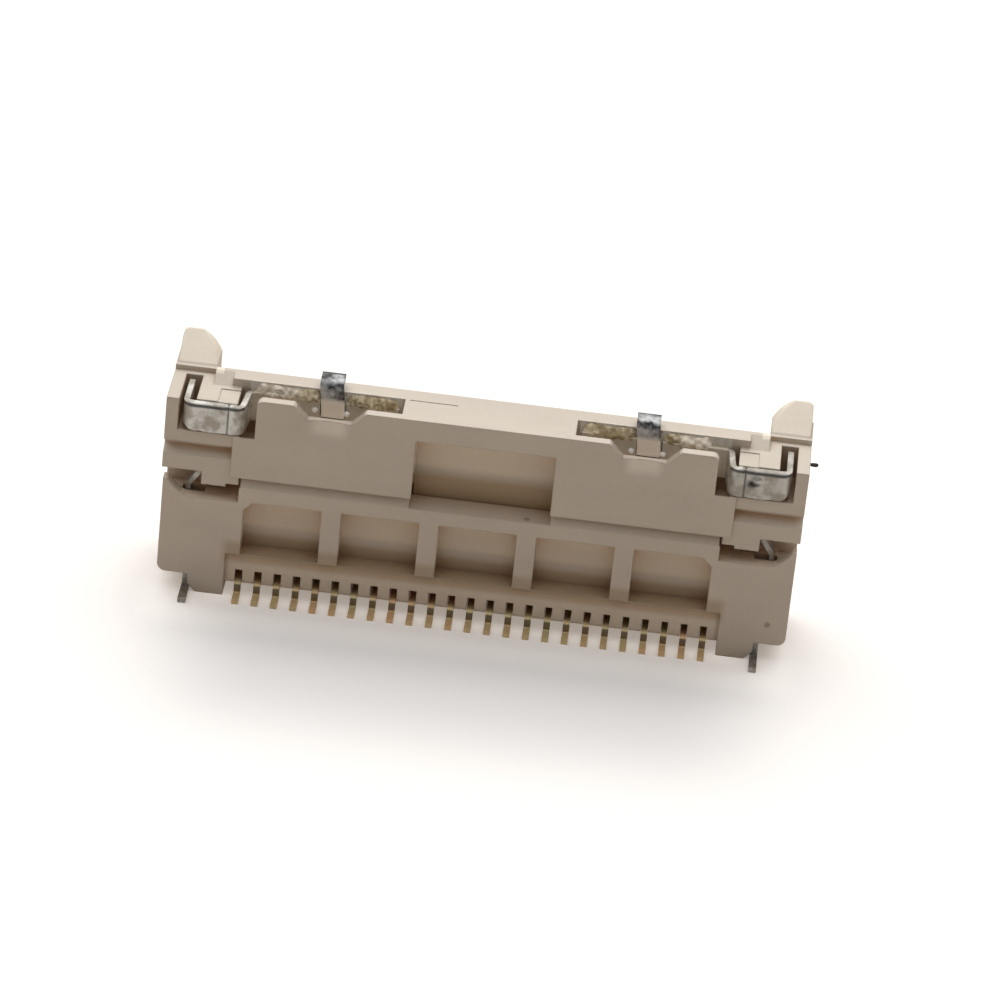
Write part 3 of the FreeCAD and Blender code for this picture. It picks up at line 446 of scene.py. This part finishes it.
def object_axes(tree):
    """The three object coordinates as sockets of their own."""
    split = tree.nodes.new("ShaderNodeSeparateXYZ")
    tree.links.new(object_vector(tree), split.inputs["Vector"])
    return split.outputs


def box_mask(tree, low, high, soft):
    """One inside a box mirrored about the middle plane, fading out over a soft border."""
    axes = object_axes(tree)
    places = [math_node(tree, "ABSOLUTE", axes["X"]), axes["Y"], axes["Z"]]
    mask = None
    for place, start, stop, shift in zip(places, low, high, (0.0, FRONT_Y, 0.0)):
        start, stop = start + shift, stop + shift
        rise = remap(tree, place, ((start - soft) * MM, start * MM), smooth=True)
        fall = remap(tree, place, (stop * MM, (stop + soft) * MM), (1.0, 0.0), smooth=True)
        inside = math_node(tree, "MULTIPLY", rise, fall)
        mask = inside if mask is None else math_node(tree, "MULTIPLY", mask, inside)
    return mask


def ball_mask(tree, centre, inner, outer, depth):
    """The depth about a point, counted from the slider's front plane, falling to zero outwards."""
    distance = tree.nodes.new("ShaderNodeVectorMath")
    distance.operation = "DISTANCE"
    distance.inputs[1].default_value = (centre[0] * MM, (centre[1] + FRONT_Y) * MM, centre[2] * MM)
    tree.links.new(object_vector(tree), distance.inputs[0])
    return remap(tree, distance.outputs["Value"], (inner * MM, outer * MM), (depth, 0.0))


def height_mask(tree, low, high):
    """Zero below the low height and one above the high one."""
    return remap(tree, object_axes(tree)["Z"], (low * MM, high * MM))


# Materials

def slot_stain_and_light(tree, colour):
    """Flux stain with painted light in the open slot along the top, browner near the tabs, and the
    slot's mask.
    """
    mask = box_mask(tree, *SLOT_BOX)
    patches = noise(tree, object_vector(tree), scale=2600.0, detail=4.0, rough=0.7)
    brown = mix_colour(tree, box_mask(tree, *SLOT_STAIN_NEAR_TAB), *STAIN_BROWNS)
    stain = mix_colour(tree, remap(tree, patches, (0.38, 0.52)), brown, STAIN_CREAM_AND_LIGHT)
    return mix_colour(tree, mask, colour, stain), mask


def plastic_material(name, colour, group, hollow, settings, zones, specks=()):
    """Matte beige moulding: flow marks, grain, faint stains, dark specks, zones of painted light
    and shade, and painted shade in hollows.

    In the open slot the normal leans to that of a slope of flux, and the painted shade in hollows
    is weaker."""
    material, tree, shader = new_material(name)
    body = place_group(tree, group, Vector=object_vector(tree), Strength=FULL)
    shade = mix_colour(tree, remap(tree, body.outputs["Tone"], (-0.7, 0.7)),
                       tinted(colour, TONE_LOW), tinted(colour, TONE_HIGH))
    shade = mix_colour(tree, math_node(tree, "MULTIPLY", body.outputs["Stain"], 0.16), shade,
                       tinted(colour, STAIN_TINT))
    for centre, radius, depth in specks:
        mask = ball_mask(tree, centre, radius * SPECK_CORE, radius, depth)
        shade = mix_colour(tree, mask, shade, tinted(colour, SPECK_TINT))
    # Zones of painted light and shade
    for low, high, soft, scale in zones.values():
        zone = mix_colour(tree, box_mask(tree, low, high, soft), WHITE, scale)
        shade = mix_colour(tree, FULL, shade, zone, "MULTIPLY")
    # Flux stain and painted light in the open slot
    shade, slot = slot_stain_and_light(tree, shade)
    # Painted shade in hollows, weaker in the open slot
    open_slot = math_node(tree, "MULTIPLY", box_mask(tree, *NO_HOLLOW_BOX), 0.8)
    amount = math_node(tree, "MULTIPLY", math_node(tree, "SUBTRACT", FULL, open_slot),
                       settings.hollow_shade_amount)
    deep = place_group(tree, hollow, Amount=amount)
    tree.links.new(mix_colour(tree, FULL, shade, deep.outputs["Tint"], "MULTIPLY"),
                   shader.inputs["Base Color"])
    rough = remap(tree, body.outputs["Grain"], (0.2, 0.8),
                  (settings.roughness - 0.06, settings.roughness + 0.08))
    tree.links.new(rough, shader.inputs["Roughness"])
    normal = mix_vector(tree, math_node(tree, "MULTIPLY", slot, 0.8),
                        soft_edges(tree, settings.edge_radius), FLUX_NORMAL)
    tree.links.new(bump(tree, body.outputs["Grain"], 0.25, 0.004 * MM, normal),
                   shader.inputs["Normal"])
    shader.inputs["IOR"].default_value = 1.48
    return material


def residue_material():
    """Dried flux: cream and brown patches, browner near the tabs."""
    material, tree, shader = new_material("Flux residue")
    vector = object_vector(tree)
    patches = noise(tree, vector, scale=3400.0, detail=4.0, rough=0.7)
    near_tab = box_mask(tree, *RESIDUE_NEAR_TAB)
    colour = mix_colour(tree, remap(tree, patches, (0.42, 0.60)),
                        mix_colour(tree, near_tab, *FLUX_BROWNS),
                        mix_colour(tree, near_tab, *FLUX_CREAMS))
    tree.links.new(colour, shader.inputs["Base Color"])
    shader.inputs["Roughness"].default_value = 0.6
    grain = noise(tree, vector, scale=9000.0, detail=3.0, rough=0.6)
    normal = soft_edges(tree, 0.03 * MM)
    tree.links.new(bump(tree, grain, 0.6, 0.02 * MM, normal), shader.inputs["Normal"])
    return material


def plated_surface(tree, shader, body, roughness, relief, edge=METAL_EDGE, depth=0.01 * MM):
    """Roughness that follows the blotches, and a bumpy normal over softened edges."""
    tree.links.new(remap(tree, body.outputs["Blotch"], NOISE_SPAN, roughness),
                   shader.inputs["Roughness"])
    normal = soft_edges(tree, edge)
    tree.links.new(bump(tree, body.outputs["Height"], relief, depth, normal),
                   shader.inputs["Normal"])


def tab_material(name, colour, group):
    """Tab of the clip: pale and dull at its root; over the bend and on top a dark, blotched painted
    reflection, with painted shade along its rear edge.
    """
    material, tree, shader = new_material(name)
    body = place_group(tree, group, Vector=object_vector(tree))
    dark = mix_colour(tree, remap(tree, body.outputs["Blotch"], (0.38, 0.64)), *TAB_REFLECTION_BLOTCHES)
    edge = math_node(tree, "MULTIPLY", box_mask(tree, *TAB_REAR_SHADE_BOX), 0.8)
    dark = mix_colour(tree, edge, dark, TAB_REAR_SHADE)
    upper = height_mask(tree, *TAB_DARK_Z)
    tree.links.new(mix_colour(tree, upper, tinted(colour, TAB_PALE_TINT), dark),
                   shader.inputs["Base Color"])
    tree.links.new(remap(tree, upper, (0.0, 1.0), (0.15, 0.75)), shader.inputs["Metallic"])
    plated_surface(tree, shader, body, (0.35, 0.6), 0.8, 0.03 * MM, 0.012 * MM)
    return material


def press_line_shade(tree):
    """Mask of painted shade lines on a clip plate: under its upper rim, along its crease, in its
    dent.

    The rim line is a band of height, the crease a band of distance from the middle plane, the dent
    a ball about a point of the right plate; all fade out behind the plate."""
    axes = object_axes(tree)
    front = tuple((FRONT_Y + depth) * MM for depth in PLATE_FRONT)
    shown = remap(tree, axes["Y"], front, (1.0, 0.0))
    rim = math_node(tree, "SUBTRACT", height_mask(tree, *RIM_LOW_Z), height_mask(tree, *RIM_HIGH_Z))
    across = math_node(tree, "SUBTRACT", math_node(tree, "ABSOLUTE", axes["X"]), CREASE_X * MM)
    crease = remap(tree, math_node(tree, "ABSOLUTE", across), (0.01 * MM, 0.04 * MM), (0.8, 0.0))
    dent = ball_mask(tree, DENT_PLACE, *DENT_SPAN, FULL)
    lines = math_node(tree, "MAXIMUM", math_node(tree, "MAXIMUM", rim, crease), dent)
    return math_node(tree, "MULTIPLY", lines, shown)


def clip_material(name, colour, group):
    """Clip sheet: mottled tin, browner to the right and in the open slot, with painted shade lines.
    """
    material, tree, shader = new_material(name)
    body = place_group(tree, group, Vector=object_vector(tree))
    tarnish = remap(tree, body.outputs["Blotch"], (0.40, 0.58), (0.0, 0.85))
    tint = mix_colour(tree, tarnish, tinted(colour, CLIP_BRIGHT), tinted(colour, CLIP_TARNISH))
    right = remap(tree, object_axes(tree)["X"], (-1.0 * MM, 1.0 * MM), (0.0, 0.35))
    tint = mix_colour(tree, right, tint, tinted(colour, CLIP_RIGHT_TARNISH))
    slot = box_mask(tree, *CLIP_SLOT_BOX)
    crust = mix_colour(tree, height_mask(tree, *CRUST_Z), *CLIP_CRUSTS)
    tint = mix_colour(tree, math_node(tree, "MULTIPLY", slot, 0.85), tint, crust)
    lines = math_node(tree, "MULTIPLY", press_line_shade(tree), 0.9)
    tree.links.new(mix_colour(tree, lines, tint, tinted(colour, PRESS_LINE_SHADE)),
                   shader.inputs["Base Color"])
    tree.links.new(remap(tree, slot, (0.0, 1.0), (0.45, 0.1)), shader.inputs["Metallic"])
    plated_surface(tree, shader, body, (0.34, 0.56), 0.9)
    return material


def metal_material(name, colour, group, roughness, dark, relief, metallic):
    """Plated metal with mottled gloss and tarnish."""
    material, tree, shader = new_material(name)
    body = place_group(tree, group, Vector=object_vector(tree))
    share = remap(tree, body.outputs["Blotch"], (0.42, 0.62), (0.0, dark))
    tree.links.new(mix_colour(tree, share, colour, tinted(colour, TARNISH_TINT)),
                   shader.inputs["Base Color"])
    shader.inputs["Metallic"].default_value = metallic
    plated_surface(tree, shader, body, roughness, relief)
    return material


def tail_material(name, colour, group):
    """Gold plated contact: pale dull foot and bend, riser painted dark as shade, tint that drifts
    along the row.
    """
    material, tree, shader = new_material(name)
    vector = object_vector(tree)
    body = place_group(tree, group, Vector=vector)
    drift = remap(tree, noise(tree, vector, scale=700.0, detail=1.0), (0.38, 0.62))
    tint = mix_colour(tree, drift, tinted(colour, TAIL_WARM), tinted(colour, TAIL_COOL))
    below = math_node(tree, "SUBTRACT", FULL, height_mask(tree, *RISER_HIGH_Z))
    riser = math_node(tree, "MULTIPLY", height_mask(tree, *RISER_LOW_Z), below)
    shade = mix_colour(tree, math_node(tree, "MULTIPLY", riser, 0.86), tint,
                       tinted(colour, TAIL_RISER_SHADE))
    tree.links.new(shade, shader.inputs["Base Color"])
    shader.inputs["Metallic"].default_value = 0.35
    plated_surface(tree, shader, body, (0.40, 0.58), 0.25)
    return material


# Shapes

def add_piece(name, points, faces, smooth=True):
    """New object at the origin from points in metres and faces."""
    mesh = bpy.data.meshes.new(name)
    mesh.from_pydata(points.tolist(), [], faces)
    if smooth:
        mesh.shade_smooth()
    piece = bpy.data.objects.new(name, mesh)
    bpy.context.scene.collection.objects.link(piece)
    return piece


def from_front(blocks):
    """Blocks of points in millimetres from the slider's front plane as one block in metres."""
    return (np.concatenate(blocks) + (0.0, FRONT_Y, 0.0)) * MM


def grid_faces(rows, columns):
    """Quads of a rows by columns grid of points, row by row."""
    index = np.arange(rows * columns).reshape(rows, columns)
    quads = np.stack([index[:-1, :-1], index[1:, :-1], index[1:, 1:], index[:-1, 1:]], -1)
    return quads.reshape(-1, 4)


def rounded_path(corners, radius, steps=8):
    """Points along a path of corners, each inner corner turned into an arc of the radius.

    The centre lies on the corner's bisector at radius over cos(half the turn); the arc runs half
    the turn to each side of the line from centre to corner."""
    corners = np.asarray(corners, float)
    points = [corners[:1]]
    for before, corner, after in zip(corners, corners[1:], corners[2:]):
        first = (corner - before) / np.linalg.norm(corner - before)
        second = (after - corner) / np.linalg.norm(after - corner)
        turn = math.acos(float(np.clip(first @ second, -1.0, 1.0)))
        inward = (second - first) / np.linalg.norm(second - first)
        centre = corner + inward * (radius / math.cos(turn / 2))
        share = np.linspace(-turn / 2, turn / 2, steps + 1)[:, None]
        along = (first + second) / np.linalg.norm(first + second)
        points.append(centre - inward * radius * np.cos(share) + along * radius * np.sin(share))
    points.append(corners[-1:])
    return np.concatenate(points)


def fill_path(points, step):
    """The same path with extra points, so that no leg is longer than the step."""
    legs = []
    for first, second in zip(points, points[1:]):
        count = max(1, math.ceil(np.linalg.norm(second - first) / step))
        legs.append(first + (second - first) * (np.arange(count) / count)[:, None])
    return np.concatenate(legs + [points[-1:]])


def sheet_mesh(name, grids):
    """One mesh from grids of points (rows, columns, 3)."""
    points, faces, start = [], [], 0
    for grid in grids:
        rows, columns = grid.shape[:2]
        points.append(grid.reshape(-1, 3))
        faces.append(grid_faces(rows, columns) + start)
        start += rows * columns
    return add_piece(name, from_front(points), np.concatenate(faces).tolist())


def thicken(piece, thickness, edge):
    """Give a sheet its thickness about the middle surface and round its edges."""
    solid = piece.modifiers.new("Sheet", "SOLIDIFY")
    solid.thickness = thickness
    solid.offset = 0.0
    solid.use_even_offset = True
    bevel = piece.modifiers.new("Edges", "BEVEL")
    bevel.width = edge
    bevel.segments = 2
    bevel.limit_method = "ANGLE"
    bevel.angle_limit = math.radians(50)


def closed_mesh(name, bodies):
    """Closed bodies joined in one mesh.

    Each body is (rings, poles, flip): rings of points (rows, columns, 3), the two points that close
    the first and the last ring with a fan, and whether the faces turn the other way."""
    points, faces, start = [], [], 0
    for rings, poles, flip in bodies:
        count = rings.shape[1]
        index = np.arange(rings.shape[0] * count).reshape(-1, count) + start
        near = np.roll(index, -1, axis=1)
        quads = np.stack([index[:-1], near[:-1], near[1:], index[1:]], -1).reshape(-1, 4)
        first, last = index.max() + 1, index.max() + 2
        caps = [np.stack([near[0], index[0], np.full(count, first)], -1),
                np.stack([index[-1], near[-1], np.full(count, last)], -1)]
        for block in [quads] + caps:
            faces += (block[:, ::-1] if flip else block).tolist()
        points += [rings.reshape(-1, 3), poles]
        start = last + 1
    return add_piece(name, from_front(points), faces)


def turned_body(centre, axis, sense, outline, count=20):
    """Body turned about a line along X or Y through the centre, pointing along the sense.

    The first and the last point of the outline lie on the line and become the poles; every other
    point gives a ring."""
    outline = np.asarray(outline, float)
    angle = np.linspace(0, 2 * math.pi, count, endpoint=False)
    along, across = (0, 1) if axis == "X" else (1, 0)
    rings = np.zeros((len(outline) - 2, count, 3)) + np.asarray(centre, float)
    rings[..., along] += sense * outline[1:-1, :1]
    rings[..., across] += outline[1:-1, 1:] * np.cos(angle)
    rings[..., 2] += outline[1:-1, 1:] * np.sin(angle)
    poles = np.zeros((2, 3)) + np.asarray(centre, float)
    poles[:, along] += sense * outline[(0, -1), 0]
    return rings, poles, (sense > 0) == (axis == "Y")


def residue_body(low, high, side, draws):
    """Lumpy fillet of dried flux between the clip's strip and the slot's back wall.

    The section runs from the wall's top edge down a slope to the front of the strip and back inside
    it. Along the row each point moves out by random draws, smoothed over five rows. Towards both
    ends the section narrows, and a pole closes it. Side -1 mirrors the body."""
    section, centre = np.array(RESIDUE_SECTION), np.array(RESIDUE_CENTRE)
    x = np.arange(low, high, RESIDUE_STEP)
    lumps = draws.normal(0.0, 1.0, (len(x) + 4, len(section)))
    lumps = (lumps[:-4] + 2 * lumps[1:-3] + 3 * lumps[2:-2] + 2 * lumps[3:-1] + lumps[4:]) / 9
    outward = (section - centre) / np.linalg.norm(section - centre, axis=1)[:, None]
    inset = np.clip(np.minimum(x - x[0], x[-1] - x) / RESIDUE_TAPER, 0.0, 1.0)
    taper = inset * (1.0 - RESIDUE_END) + RESIDUE_END
    flat = section + outward * (lumps * np.array(RESIDUE_REACH) - RESIDUE_SHRINK)[..., None]
    flat = centre + (flat - centre) * taper[:, None, None]
    along = np.broadcast_to(side * x[:, None, None], flat.shape[:2] + (1,))
    rings = np.concatenate([along, flat], -1)
    if side < 0:
        rings = rings[::-1]
    return rings, rings[(0, -1),].mean(1), False


def bell(value, centre, width):
    """Smooth hump of height one about the centre."""
    return np.exp(-((value - centre) / width) ** 2)


def strip_plan(middle):
    """The clip's strip seen from above, with points where its upper edge drops beside the tab."""
    plan = fill_path(rounded_path(CLIP_PLAN, CLIP_BEND), CLIP_STEP)
    in_slot = (plan[:, 1] > STRIP_Y - 1e-6) & (plan[:, 0] < 6.2)
    gaps = [middle + offset for offset in TAB_GAP_X]
    slot_x = np.sort(np.concatenate([plan[in_slot, 0], gaps]))[::-1]
    slot = np.stack([slot_x, np.full_like(slot_x, STRIP_Y)], -1)
    return np.concatenate([plan[~in_slot], slot])


def plate_push(x, z, height, side, relief):
    """How far the plate is pushed out to the front: a sum of humps (bell) times the relief.

    Both plates have a groove under the rim, a crease near the inner end, shallow waves and a dip
    near the outer end; the right one also has a bulge with two slanting dents below it."""
    rim = -0.8 * bell(height, 0.93, 0.04)
    crease = -1.2 * bell(x, CREASE_X, 0.035) * (0.5 + 0.5 * height)
    waves = 0.25 * np.sin(9.0 * x + 3.0 * z) * bell(height, 0.4, 0.4)
    dip = -0.5 * bell(x, 7.25, 0.08) * bell(height, 0.1, 0.35)
    push = relief * (rim + crease + waves + dip)
    if side > 0:
        bulge = 1.2 * bell(x, 6.84, 0.12) * bell(z, 5.16, 0.06)
        deep_dent = -3.4 * bell(x - 0.5 * (z - 5.07), 6.72, 0.05) * bell(z, 5.07, 0.07)
        flat_dent = -2.2 * bell(x, 6.84, 0.09) * bell(z - 0.25 * (x - 6.84), 5.04, 0.035)
        push = push + relief * (bulge + deep_dent + flat_dent)
    return push


def clip_grids(side, relief):
    """Right clip as two grids: the bent strip and the hooked tab; side -1 mirrors it.

    The strip follows arm, plate, shift and slot in plan. Its lower edge rises over the outer bend,
    its upper edge drops to the tab's root beside the tab. The plate is pushed in and out by
    plate_push. The tab rises from the strip, bends back into its hook and leans a little left."""
    middle, tab_z, reach_y = TABS[side]
    plan = strip_plan(middle)
    x, y = plan[:, 0], plan[:, 1]
    top = CLIP_TOP_Z + 0.04 * np.clip((y - 0.5) / 0.4, 0, 1) * (x < 7.0)
    top = np.where((np.abs(x - middle) < TAB_GAP_HALF) & (y > 0.9), TAB_GAP_Z, top)
    outer = np.clip((x - 7.40) / 0.25, 0, 1)
    low = CLIP_LOW_Z + 0.17 * outer ** 2
    share = np.linspace(0, 1, CLIP_ROWS)
    z = low[:, None] + (top - low)[:, None] * share
    x, y = np.broadcast_to(x[:, None], z.shape), np.broadcast_to(y[:, None], z.shape)
    height = np.broadcast_to(share, z.shape)
    plate = np.clip((0.17 - y) / 0.07, 0, 1) * np.clip((x - 6.3) / 0.1, 0, 1)
    y = y - plate_push(x, z, height, side, relief) * plate
    strip = np.stack([side * x, y, z], -1)
    profile = [(STRIP_Y, TAB_FOOT_Z), (STRIP_Y, tab_z), (reach_y, tab_z)]
    bend = fill_path(rounded_path(profile, TAB_BEND), TAB_STEP)
    across = np.linspace(-TAB_HALF, TAB_HALF, 9)
    lean = TAB_LEAN * np.clip((bend[:, 1:] - 5.2) / 0.7, 0, 1)
    tab = np.empty((len(bend), len(across), 3))
    tab[..., 0] = side * (middle + across[None, :]) - lean
    tab[..., 1] = bend[:, :1]
    tab[..., 2] = bend[:, 1:]
    return [strip, tab] if side > 0 else [strip[::-1], tab[::-1]]


def dress(node, material):
    """Give a CAD node its material in every slot."""
    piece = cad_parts[node]
    if not piece.material_slots:
        raise RuntimeError(node + " has no material slot")
    for slot in piece.material_slots:
        slot.material = material


class CONNECTOR_OT_mouldings(bpy.types.Operator):
    """Beige moulded finish for the base and the slider"""
    bl_idname = "connector.mouldings"
    bl_label = "Dress mouldings"

    def execute(self, context):
        settings = context.scene.connector_mouldings
        group, hollow = moulded_group(), hollow_shade_group()
        dress("base_housing", plastic_material(
            "Base plastic", settings.base_colour, group, hollow, settings, BASE_LIGHT_AND_SHADE, BASE_SPECKS))
        dress("slider", plastic_material(
            "Slider plastic", settings.slider_colour, group, hollow, settings, SLIDER_LIGHT_AND_SHADE))
        return {"FINISHED"}


class CONNECTOR_OT_contacts(bpy.types.Operator):
    """Gold plated finish for the row of contacts"""
    bl_idname = "connector.contacts"
    bl_label = "Dress contacts"

    def execute(self, context):
        settings = context.scene.connector_metals
        gold = tail_material("Gold plating", settings.gold_colour, plated_group())
        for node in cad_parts:
            if node.startswith("contact_"):
                dress(node, gold)
        return {"FINISHED"}


class CONNECTOR_OT_metal_fittings(bpy.types.Operator):
    """Tin plated finish for the clips and hold-downs"""
    bl_idname = "connector.metal_fittings"
    bl_label = "Dress clips and hold-downs"

    def execute(self, context):
        settings = context.scene.connector_metals
        group = plated_group()
        feet = metal_material("Foot plating", tinted(settings.tin_colour, FOOT_TINT), group,
                              roughness=(0.35, 0.55), dark=0.9, relief=0.9, metallic=0.8)
        for node in HOLD_NODES:
            dress(node, feet)
        sheet = clip_material("Clip plating", settings.tin_colour, group)
        tab = tab_material("Tab plating", settings.tin_colour, group)
        for name, node in CLIP_NODES.items():
            grids = clip_grids(1 if name == "right" else -1, settings.relief / MM)
            piece = sheet_mesh("clip_" + name, grids)
            thicken(piece, settings.sheet, CLIP_EDGE)
            piece.data.materials.append(sheet)
            piece.data.materials.append(tab)
            strip_faces = (grids[0].shape[0] - 1) * (grids[0].shape[1] - 1)
            slots = np.repeat((0, 1), (strip_faces, len(piece.data.polygons) - strip_faces))
            piece.data.polygons.foreach_set("material_index", slots)
            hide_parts(node)
            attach(piece, "actuator")
        return {"FINISHED"}


class CONNECTOR_OT_small_marks(bpy.types.Operator):
    """Pips beside the tabs as painted glints, flux residue in the slot, dark metal tip on one side
    wall
    """
    bl_idname = "connector.small_marks"
    bl_label = "Add pips, residue and side tip"

    def execute(self, context):
        group = plated_group()
        # Near white and hardly metallic: a painted glint on the pips
        bright = metal_material("Pip glint", PIP_GLINT_COLOUR, group, roughness=(0.25, 0.3), dark=0.1,
                                relief=0.0, metallic=0.1)
        dark = metal_material("Tip metal", TIP_COLOUR, group, roughness=(0.3, 0.5), dark=0.3,
                              relief=0.3, metallic=FULL)
        draws = np.random.default_rng(RESIDUE_SEED)
        pips = [turned_body(place, "Y", -1, PIP_OUTLINE) for place in PIP_PLACES]
        residue = [residue_body(low, high, side, draws) for side, low, high in RESIDUE_RUNS]
        tip = [turned_body(TIP_PLACE, "X", 1, TIP_OUTLINE)]
        for name, bodies, material in (("clip_pips", pips, bright),
                                       ("slot_residue", residue, residue_material()),
                                       ("side_tip", tip, dark)):
            piece = closed_mesh(name, bodies)
            piece.data.materials.append(material)
            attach(piece, "actuator")
        return {"FINISHED"}


# Stage

def aim_camera(scene, lens):
    """Camera at the photograph's viewing angle: from above, slightly from the right, rolled."""
    azimuth, elevation, roll = (math.radians(angle) for angle in CAMERA_ANGLES)
    back = Vector((math.sin(azimuth) * math.cos(elevation),
                   -math.cos(azimuth) * math.cos(elevation), math.sin(elevation)))
    right = Vector((math.cos(azimuth), math.sin(azimuth), 0.0))
    up = right.cross(-back)
    turned = right * math.cos(roll) + up * math.sin(roll)
    raised = up * math.cos(roll) - right * math.sin(roll)
    target = Vector((0.0, FRONT_Y, CAMERA_TARGET_Z))
    place = target + back * CAMERA_DISTANCE + turned * CAMERA_SHIFT[0] + raised * CAMERA_SHIFT[1]
    data = bpy.data.cameras.new("Camera")
    data.lens = lens
    data.sensor_width = 36.0
    data.clip_start = 0.005
    data.clip_end = 20.0
    camera = bpy.data.objects.new("Camera", data)
    scene.collection.objects.link(camera)
    axes = Matrix((turned, raised, back)).transposed().to_4x4()
    camera.matrix_world = Matrix.Translation(place * MM) @ axes
    scene.camera = camera


def make_floor(size):
    """Floor grid at the board plane: x and y run evenly from minus size to size."""
    side = np.linspace(-size, size, FLOOR_POINTS)
    x, y = np.meshgrid(side, side, indexing="ij")
    points = np.stack([x, y, np.zeros_like(x)], -1).reshape(-1, 3)
    return add_piece("floor", points, grid_faces(len(side), len(side)).tolist(), smooth=False)


def floor_material(settings):
    """Floor paper: one colour where it is seen and another for the light it sends back.

    Where it is seen it also glows a little: more about the part and under the comb as painted
    light, less in front of it as painted shadow."""
    material, tree, shader = new_material("Floor paper")
    shader.inputs["Roughness"].default_value = 0.9
    rays = tree.nodes.new("ShaderNodeLightPath")
    seen = math_node(tree, "ADD", rays.outputs["Is Camera Ray"], rays.outputs["Is Glossy Ray"],
                     clamp=True)
    seen = math_node(tree, "ADD", seen, rays.outputs["Is Transmission Ray"], clamp=True)
    colour = mix_colour(tree, seen, tuple(settings.bounce_colour), tuple(settings.paper_colour))
    tree.links.new(colour, shader.inputs["Base Color"])
    shader.inputs["Emission Color"].default_value = GLOW_COLOUR
    near, front, under = (box_mask(tree, *box) for box in (FLOOR_NEAR_LIGHT, FLOOR_FRONT_SHADOW, FLOOR_UNDER_LIGHT))
    glow = math_node(tree, "SUBTRACT", remap(tree, near, (0.0, 1.0), GLOW_FAR_NEAR),
                     math_node(tree, "MULTIPLY", front, GLOW_FRONT))
    glow = math_node(tree, "ADD", glow, math_node(tree, "MULTIPLY", under, GLOW_UNDER))
    tree.links.new(math_node(tree, "MULTIPLY", seen, glow), shader.inputs["Emission Strength"])
    return material


def add_window_light(scene, strength):
    """Wide soft sun from above and behind the part, a little from its left."""
    lamp = bpy.data.lights.new("Window light", "SUN")
    lamp.energy = strength
    lamp.angle = math.radians(LAMP_SPREAD)
    lamp.color = LAMP_COLOUR
    holder = bpy.data.objects.new("Window light", lamp)
    scene.collection.objects.link(holder)
    holder.rotation_euler = (math.radians(LAMP_TURN[0]), math.radians(LAMP_TURN[1]), 0.0)


def add_even_light(scene, strength):
    """World light, brighter overhead and behind the part, and plain white to the camera."""
    world = bpy.data.worlds.new("Even light")
    scene.world = world
    world.use_nodes = True
    tree = world.node_tree
    tree.nodes.clear()
    split = tree.nodes.new("ShaderNodeSeparateXYZ")
    coordinate = tree.nodes.new("ShaderNodeTexCoord")
    tree.links.new(coordinate.outputs["Generated"], split.inputs["Vector"])
    overhead = remap(tree, split.outputs["Z"], (0.45, 0.95), (0.0, 2.1))
    behind = remap(tree, split.outputs["Y"], (-0.6, 0.9), (0.18, 1.10))
    level = math_node(tree, "ADD", overhead, behind)
    even = tree.nodes.new("ShaderNodeBackground")
    even.inputs["Color"].default_value = SKY_COLOUR
    tree.links.new(math_node(tree, "MULTIPLY", level, strength), even.inputs["Strength"])
    white = tree.nodes.new("ShaderNodeBackground")
    white.inputs["Color"].default_value = WHITE + (FULL,)
    mix = tree.nodes.new("ShaderNodeMixShader")
    rays = tree.nodes.new("ShaderNodeLightPath")
    tree.links.new(rays.outputs["Is Camera Ray"], mix.inputs["Fac"])
    tree.links.new(even.outputs["Background"], mix.inputs[1])
    tree.links.new(white.outputs["Background"], mix.inputs[2])
    output = tree.nodes.new("ShaderNodeOutputWorld")
    tree.links.new(mix.outputs["Shader"], output.inputs["Surface"])


class CONNECTOR_OT_stage(bpy.types.Operator):
    """Floor, soft lamp, even light and camera"""
    bl_idname = "connector.stage"
    bl_label = "Set the stage"

    def execute(self, context):
        scene = context.scene
        settings = scene.connector_stage
        floor = make_floor(settings.floor_size)
        floor.data.materials.append(floor_material(settings))
        add_window_light(scene, settings.lamp_strength)
        add_even_light(scene, settings.fill_strength)
        aim_camera(scene, settings.lens)
        scene.view_settings.view_transform = "Standard"
        return {"FINISHED"}


class CONNECTOR_PT_panel(bpy.types.Panel):
    """Lists the steps that dress the connector"""
    bl_idname = "CONNECTOR_PT_panel"
    bl_label = "Connector"
    bl_space_type = "VIEW_3D"
    bl_region_type = "UI"
    bl_category = "Connector"

    def draw(self, context):
        for step in STEPS:
            self.layout.operator(step.bl_idname)


STEPS = (CONNECTOR_OT_mouldings, CONNECTOR_OT_contacts, CONNECTOR_OT_metal_fittings,
         CONNECTOR_OT_small_marks, CONNECTOR_OT_stage)
CLASSES = (MouldingFinish, MetalFinish, StageSettings) + STEPS + (CONNECTOR_PT_panel,)
GROUPS = {"connector_mouldings": MouldingFinish, "connector_metals": MetalFinish,
          "connector_stage": StageSettings}


def register():
    """Register the classes and hang the settings on the scene."""
    for item in CLASSES:
        bpy.utils.register_class(item)
    for name, item in GROUPS.items():
        setattr(bpy.types.Scene, name, bpy.props.PointerProperty(type=item))


def unregister():
    """Undo register."""
    for name in GROUPS:
        delattr(bpy.types.Scene, name)
    for item in reversed(CLASSES):
        bpy.utils.unregister_class(item)


def main():
    """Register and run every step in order."""
    register()
    for step in STEPS:
        area, name = step.bl_idname.split(".")
        getattr(getattr(bpy.ops, area), name)()


if __name__ == "__main__":
    main()
